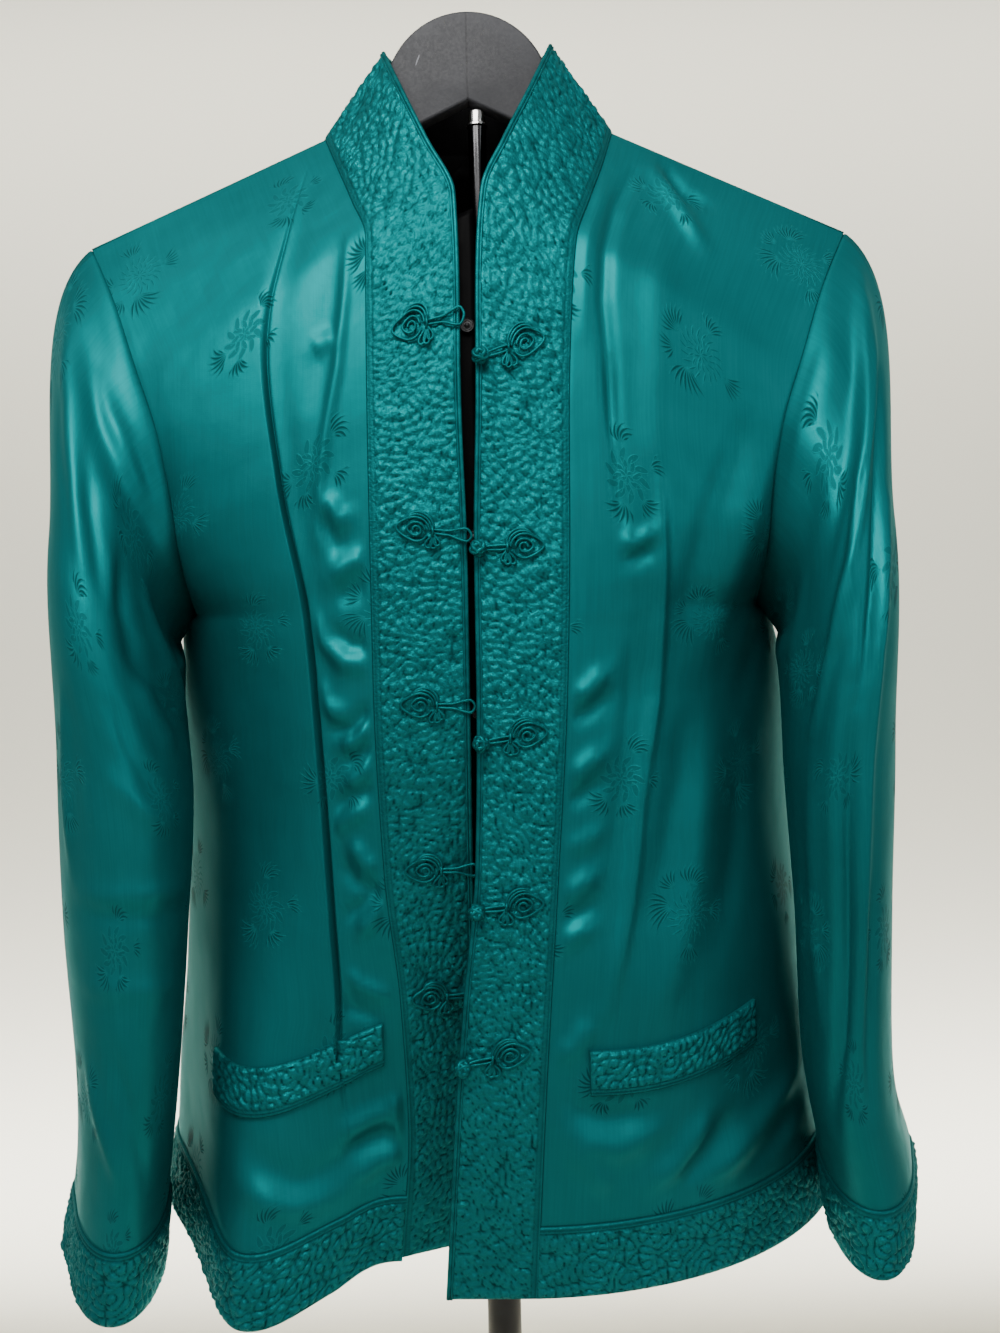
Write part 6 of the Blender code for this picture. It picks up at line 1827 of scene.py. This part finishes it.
def quilt_finish(tree):
    place = cloth_place(tree)
    valley_shade_mask = tree.nodes.new("ShaderNodeAttribute")
    valley_shade_mask.attribute_name = "stitch"
    stitch = valley_shade_mask.outputs["Fac"]
    weave = use(tree, satin_weave(), vector=place)
    # Painted shade: the satin darkens to about a quarter of its colour where the cloth is stitched down, in
    # the valleys between the puffs and in the twin grooves by the seam
    base = shades(tree, calc(tree, "MULTIPLY", stitch, 0.85), colours().satin, 1.05, 0.12)
    mottle = ramp(tree, noise(tree, place, 60.0, 3.0), 0.2, 0.8, 0.86, 1.12)
    fine = bump(tree, weave["Height"], 0.10, 0.00008)
    dress(
        tree, Base_Color=brightened(tree, base, mottle),
        Roughness=ramp(tree, stitch, 0.0, 1.0, 0.40, 0.62), Metallic=SATIN_METAL,
        Specular_IOR_Level=SATIN_SPECULAR, Specular_Tint=SATIN_TINT,
        Normal=bump(tree, noise(tree, place, 620.0, 3.0, 0.6), 0.60, 0.0012, fine),
    )


def cord_finish(tree):
    place = object_place(tree)
    grain = noise(tree, place, 2600.0, 2.0)
    uneven = ramp(tree, noise(tree, place, 180.0), 0.3, 0.7)
    dress(
        tree, Base_Color=shades(tree, uneven, colours().satin, 0.62, 0.98),
        Roughness=ramp(tree, grain, 0.2, 0.8, 0.36, 0.50), Metallic=SATIN_METAL,
        Specular_Tint=SATIN_TINT, Normal=bump(tree, grain, 0.35, 0.0003),
    )


def lining_finish(tree):
    place = object_place(tree)
    tall = tree.nodes.new("ShaderNodeMapping")
    feed(tree, tall.inputs["Vector"], place)
    tall.inputs["Scale"].default_value = (1.0, 1.0, 0.15)
    streak = noise(tree, tall.outputs[0], 420.0, 3.0)
    dress(
        tree, Base_Color=shades(tree, ramp(tree, streak, 0.3, 0.7), colours().lining, 0.7, 1.3),
        Roughness=ramp(tree, streak, 0.2, 0.8, 0.42, 0.55), Specular_IOR_Level=0.04,
        Normal=bump(tree, noise(tree, place, 1800.0), 0.15, 0.0002),
    )


def snap_finish(tree):
    worn = noise(tree, object_place(tree), 900.0, 3.0)
    paint, metal = (0.018, 0.018, 0.019, 1), (0.05, 0.05, 0.052, 1)
    dress(
        tree, Base_Color=blend(tree, ramp(tree, worn, 0.45, 0.75), paint, metal),
        Roughness=ramp(tree, worn, 0.2, 0.8, 0.26, 0.42), Metallic=0.5,
        Normal=bump(tree, worn, 0.10, 0.0002),
    )


def board_finish(tree):
    place = object_place(tree)
    do = functools.partial(calc, tree)
    colour = colours().board
    x, _, z = split(tree, place)
    grain = noise(tree, place, 700.0, 4.0, 0.6)
    shade = shades(tree, ramp(tree, noise(tree, place, 26.0, 2.0), 0.3, 0.7), colour, 0.85, 1.15)
    seam = ramp(tree, do("ABSOLUTE", do("SUBTRACT", x, BOARD_X)), 0.0009, 0.0002)
    shade = blend(tree, do("MULTIPLY", seam, 0.45), shade, scaled(colour, 0.35))
    along, aside, _ = split(tree, placed(tree, join(tree, x, z), SCRATCH, 68.0))
    length = ramp(tree, do("ABSOLUTE", along), 0.0034, 0.0022)
    ragged = do("MULTIPLY_ADD", grain, 0.0006, do("SUBTRACT", aside, 0.0003))
    width = ramp(tree, do("ABSOLUTE", ragged), 0.0005, 0.0001)
    dress(
        tree, Base_Color=blend(tree, do("MULTIPLY", length, width), shade, scaled(colour, 5.0)),
        Roughness=ramp(tree, grain, 0.2, 0.8, 0.50, 0.66), Specular_IOR_Level=0.4,
        Normal=bump(tree, do("MULTIPLY_ADD", seam, -1.0, grain), 0.15, 0.0004),
    )


def chrome_finish(tree):
    place = object_place(tree)
    smear = noise(tree, place, 60.0, 3.0)
    _, _, z = split(tree, place)
    edge = POLE_TOP_Z - CAP_SHINE
    high = ramp(tree, z, edge - 0.0003, edge + 0.0003)
    shade = blend(tree, smear, (0.70, 0.69, 0.66, 1), (0.82, 0.81, 0.78, 1))
    dress(
        tree, Base_Color=blend(tree, high, (0.085, 0.085, 0.088, 1), shade),
        Roughness=ramp(tree, smear, 0.3, 0.7, 0.10, 0.20), Metallic=1.0,
        Normal=bump(tree, noise(tree, place, 1500.0), 0.03, 0.0002),
    )


def black_finish(tree):
    place = object_place(tree)
    dust = noise(tree, place, 40.0, 4.0)
    dress(
        tree, Base_Color=shades(tree, ramp(tree, dust, 0.5, 0.8), colours().stand, 1.0, 2.0),
        Roughness=ramp(tree, dust, 0.3, 0.7, 0.34, 0.48),
        Normal=bump(tree, noise(tree, place, 1300.0, 2.0), 0.12, 0.0003),
    )


def wall_finish(tree):
    """A pale wall that a view from behind sees through."""
    place = object_place(tree)
    behind = tree.nodes.new("ShaderNodeNewGeometry").outputs["Backfacing"]
    uneven = noise(tree, place, 3.0, 3.0)
    dress(
        tree, Base_Color=shades(tree, uneven, stage_values().backdrop, 0.985, 1.015),
        Roughness=0.85, Alpha=calc(tree, "SUBTRACT", 1.0, behind),
        Normal=bump(tree, noise(tree, place, 400.0, 3.0), 0.05, 0.001),
    )


def floor_finish(tree):
    grey = noise(tree, object_place(tree), 5.0, 4.0)
    dress(tree, Base_Color=shades(tree, grey, stage_values().backdrop, 0.94, 0.99), Roughness=0.7)


@functools.cache
def finish(name):
    """A finish by its short name, made the first time it is asked for."""
    titles = {
        "satin": ("Jacquard satin", satin_finish), "quilt": ("Quilted satin", quilt_finish),
        "cord": ("Satin cord", cord_finish), "lining": ("Black lining", lining_finish),
        "snap": ("Black snap", snap_finish), "board": ("Grey board", board_finish),
        "chrome": ("Chrome", chrome_finish), "black": ("Black paint", black_finish),
        "wall": ("Pale wall", wall_finish), "floor": ("Pale floor", floor_finish),
    }
    title, build = titles[name]
    made = bpy.data.materials.new(title)
    made.use_nodes = True
    build(made.node_tree)
    return made


# ---------------------------------------------------------------- stage
ROOM_WIDTH = 8.0
CAMERA_PLACE = (0.006, -0.583, 1.15)
CAMERA_DOWN = 4.0  # degrees
CAMERA_ROLL = -1.3
FRAME_HEIGHT = 24.0  # of the camera, in millimetres
FRAME_PIXELS = 1333  # the frame's height
FOCAL_PIXELS = 1020  # and the lens's focal length in the same pixels
# Each light's place, target, width and height, share of the key's power, tint and spread.
LIGHTS = {
    "key": ((-0.25, -0.80, 2.08), (0, 0, 1.35), (1.0, 0.6), 1.0, (1.0, 0.99, 0.97), 180),
    "fill": ((1.5, -1.1, 1.7), (0, 0, 1.2), (0.9, 1.2), 0.28, (0.97, 0.99, 1.0), 180),
    "wall wash": ((0.0, 0.50, 2.20), (0, 0.75, 0.9), (2.2, 0.15), 0.85, (1.0, 0.985, 0.93), 80),
    "low wash": ((0.0, 0.36, 0.12), (0, 0.75, 0.45), (2.2, 0.15), 0.85, (1.0, 0.99, 0.96), 80),
}


def stage_plane(name, matrix, size):
    """A square of floor or wall, with the finish of the same name."""
    bm = bmesh.new()
    bmesh.ops.create_grid(bm, x_segments=2, y_segments=2, size=size / 2)
    bmesh.ops.transform(bm, matrix=matrix, verts=bm.verts)
    mesh = to_mesh(bm, name)
    mesh.materials.append(finish(name))
    linked(name, mesh)


def soft_light(name, place, target, size, share, tint, spread):
    """A rectangular light that looks from its place at a target."""
    data = bpy.data.lights.new(name, "AREA")
    data.shape = "RECTANGLE"
    data.size, data.size_y = size
    data.energy = stage_values().key_power * share
    data.color = tint
    data.spread = math.radians(spread)
    made = linked(name, data)
    made.location = place
    made.rotation_euler = (Vector(target) - Vector(place)).to_track_quat("-Z", "Y").to_euler()


def build_stage():
    """The floor, wall, lights, even room light and camera."""
    values = stage_values()
    stage_plane("floor", Matrix.Identity(4), ROOM_WIDTH)
    upright = Matrix.Rotation(math.radians(90), 4, "X")
    stage_plane("wall", Matrix.Translation((0, values.wall_distance, 2.0)) @ upright, ROOM_WIDTH)
    for name, light in LIGHTS.items():
        soft_light(name, *light)
    world = bpy.data.worlds.new("Soft room")
    world.use_nodes = True
    background = world.node_tree.nodes["Background"]
    background.inputs["Color"].default_value = (0.95, 0.97, 1.0, 1.0)
    background.inputs["Strength"].default_value = values.room_light
    bpy.context.scene.world = world
    data = bpy.data.cameras.new("camera")
    data.sensor_fit = "VERTICAL"
    data.sensor_height = FRAME_HEIGHT
    data.lens = values.lens
    data.clip_start = 0.02
    camera = linked("camera", data)
    camera.location = CAMERA_PLACE
    down = Matrix.Rotation(math.radians(90 - CAMERA_DOWN), 4, "X")
    camera.rotation_euler = (down @ Matrix.Rotation(math.radians(CAMERA_ROLL), 4, "Z")).to_euler()
    bpy.context.scene.camera = camera


# ---------------------------------------------------------------- values that a user would change
def length_value(name, description, default, low, high):
    """A length in metres that a user would change."""
    return bpy.props.FloatProperty(
        name=name, description=description, default=default, min=low, max=high,
        subtype="DISTANCE", unit="LENGTH",
    )


def colour_value(name, description, default):
    """A colour that a user would change."""
    return bpy.props.FloatVectorProperty(
        name=name, description=description, default=default, size=3, min=0.0, max=1.0,
        subtype="COLOR",
    )


class JacketSizes(bpy.types.PropertyGroup):
    cloth_wall: length_value(
        "Cloth wall", "Thickness of the satin with its lining", 0.0008, 0.0003, 0.002,
    )
    quilt_spacing: length_value(
        "Quilt spacing", "Wavelength of the wandering stitch lines", 0.0068, 0.005, 0.02,
    )
    quilt_puff: length_value(
        "Quilt puff", "How far the wadding stands between stitch lines", 0.0015, 0.0, 0.003,
    )


class JacketColours(bpy.types.PropertyGroup):
    satin: colour_value("Satin", "Colour of the satin and its cords", (0.0, 0.190, 0.198))
    lining: colour_value("Lining", "Colour of the lining and the placket", (0.0020, 0.0020, 0.0022))
    board: colour_value("Board", "Colour of the hanger board", (0.055, 0.056, 0.062))
    stand: colour_value("Stand", "Colour of the stand's paint", (0.012, 0.012, 0.013))


class StageValues(bpy.types.PropertyGroup):
    key_power: bpy.props.FloatProperty(
        name="Key power", description="Power of the main soft light", default=15.0, min=0.0,
        subtype="POWER", unit="POWER",
    )
    room_light: bpy.props.FloatProperty(
        name="Room light", description="Strength of the even light from all round", default=0.33, min=0.0,
    )
    wall_distance: length_value(
        "Wall distance", "How far the wall stands behind the jacket", 0.75, 0.3, 4.0,
    )
    lens: bpy.props.FloatProperty(
        name="Lens", description="Focal length over a frame 24 mm high, in millimetres",
        default=FOCAL_PIXELS / FRAME_PIXELS * FRAME_HEIGHT, min=5.0, max=120.0,
    )
    backdrop: colour_value("Backdrop", "Colour of the wall and floor", (0.87, 0.84, 0.71))


def sizes():
    return bpy.context.scene.jacket_sizes


def colours():
    return bpy.context.scene.jacket_colours


def stage_values():
    return bpy.context.scene.jacket_stage


# ---------------------------------------------------------------- operators, one for each group of pieces
class JACKET_OT_panels(bpy.types.Operator):
    """Cut and hang the satin fronts, back and sleeves"""

    bl_idname = "jacket.panels"
    bl_label = "Satin Panels"

    def execute(self, context):
        build_back()
        for side in (1, -1):
            build_front(side)
            build_sleeve(side)
        return {"FINISHED"}


class JACKET_OT_quilting(bpy.types.Operator):
    """Quilt the bands, collar, hems, cuffs and pocket welts"""

    bl_idname = "jacket.quilting"
    bl_label = "Quilted Bands"

    def execute(self, context):
        build_collar()
        build_hem_back()
        for side in (1, -1):
            build_band(side)
            build_cuff(side)
            build_hem_front(side)
            build_welt(side)
        return {"FINISHED"}


class JACKET_OT_lining(bpy.types.Operator):
    """Hang the black lining"""

    bl_idname = "jacket.lining"
    bl_label = "Lining"

    def execute(self, context):
        build_lining()
        return {"FINISHED"}


class JACKET_OT_piping(bpy.types.Operator):
    """Cord the edges of the bands and the collar"""

    bl_idname = "jacket.piping"
    bl_label = "Corded Edges"

    def execute(self, context):
        build_piping(1)
        build_piping(-1)
        build_collar_piping()
        return {"FINISHED"}


class JACKET_OT_frogs(bpy.types.Operator):
    """Lay the frog flowers, loops and knot buttons"""

    bl_idname = "jacket.frogs"
    bl_label = "Frog Closures"

    def execute(self, context):
        for index in range(len(FROGS["z_left"])):
            build_frog(1, index)
            build_frog(-1, index)
            build_knot(index)
        return {"FINISHED"}


class JACKET_OT_placket(bpy.types.Operator):
    """Add the placket behind the right band and its snaps"""

    bl_idname = "jacket.placket"
    bl_label = "Placket and Snaps"

    def execute(self, context):
        build_underlap()
        for index in range(len(FROGS["z_left"])):
            build_snap(index)
        return {"FINISHED"}


class JACKET_OT_stand(bpy.types.Operator):
    """Turn the stand's poles and base, and shape the hanger board"""

    bl_idname = "jacket.stand"
    bl_label = "Garment Stand"

    def execute(self, context):
        build_stand()
        return {"FINISHED"}


class JACKET_OT_stage(bpy.types.Operator):
    """Set the floor, wall, soft lights and camera"""

    bl_idname = "jacket.stage"
    bl_label = "Stage"

    def execute(self, context):
        build_stage()
        return {"FINISHED"}


OPERATORS = (
    JACKET_OT_panels, JACKET_OT_quilting, JACKET_OT_lining, JACKET_OT_piping,
    JACKET_OT_frogs, JACKET_OT_placket, JACKET_OT_stand, JACKET_OT_stage,
)


class JACKET_PT_sidebar(bpy.types.Panel):
    """The jacket's values and operators"""

    bl_idname = "JACKET_PT_sidebar"
    bl_label = "Tang Jacket"
    bl_space_type = "VIEW_3D"
    bl_region_type = "UI"
    bl_category = "Tang Jacket"

    def draw(self, context):
        for group in (sizes(), colours(), stage_values()):
            box = self.layout.box()
            for name in group.bl_rna.properties.keys():
                if name not in ("rna_type", "name"):
                    box.prop(group, name)
        for operator in OPERATORS:
            self.layout.operator(operator.bl_idname)


CLASSES = (JacketSizes, JacketColours, StageValues, *OPERATORS, JACKET_PT_sidebar)


def register():
    for each in CLASSES:
        bpy.utils.register_class(each)
    bpy.types.Scene.jacket_sizes = bpy.props.PointerProperty(type=JacketSizes)
    bpy.types.Scene.jacket_colours = bpy.props.PointerProperty(type=JacketColours)
    bpy.types.Scene.jacket_stage = bpy.props.PointerProperty(type=StageValues)


def unregister():
    del bpy.types.Scene.jacket_stage
    del bpy.types.Scene.jacket_colours
    del bpy.types.Scene.jacket_sizes
    for each in reversed(CLASSES):
        bpy.utils.unregister_class(each)


def main():
    register()
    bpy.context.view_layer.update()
    for operator in OPERATORS:
        group, name = operator.bl_idname.split(".")
        getattr(getattr(bpy.ops, group), name)()


if __name__ == "__main__":
    main()
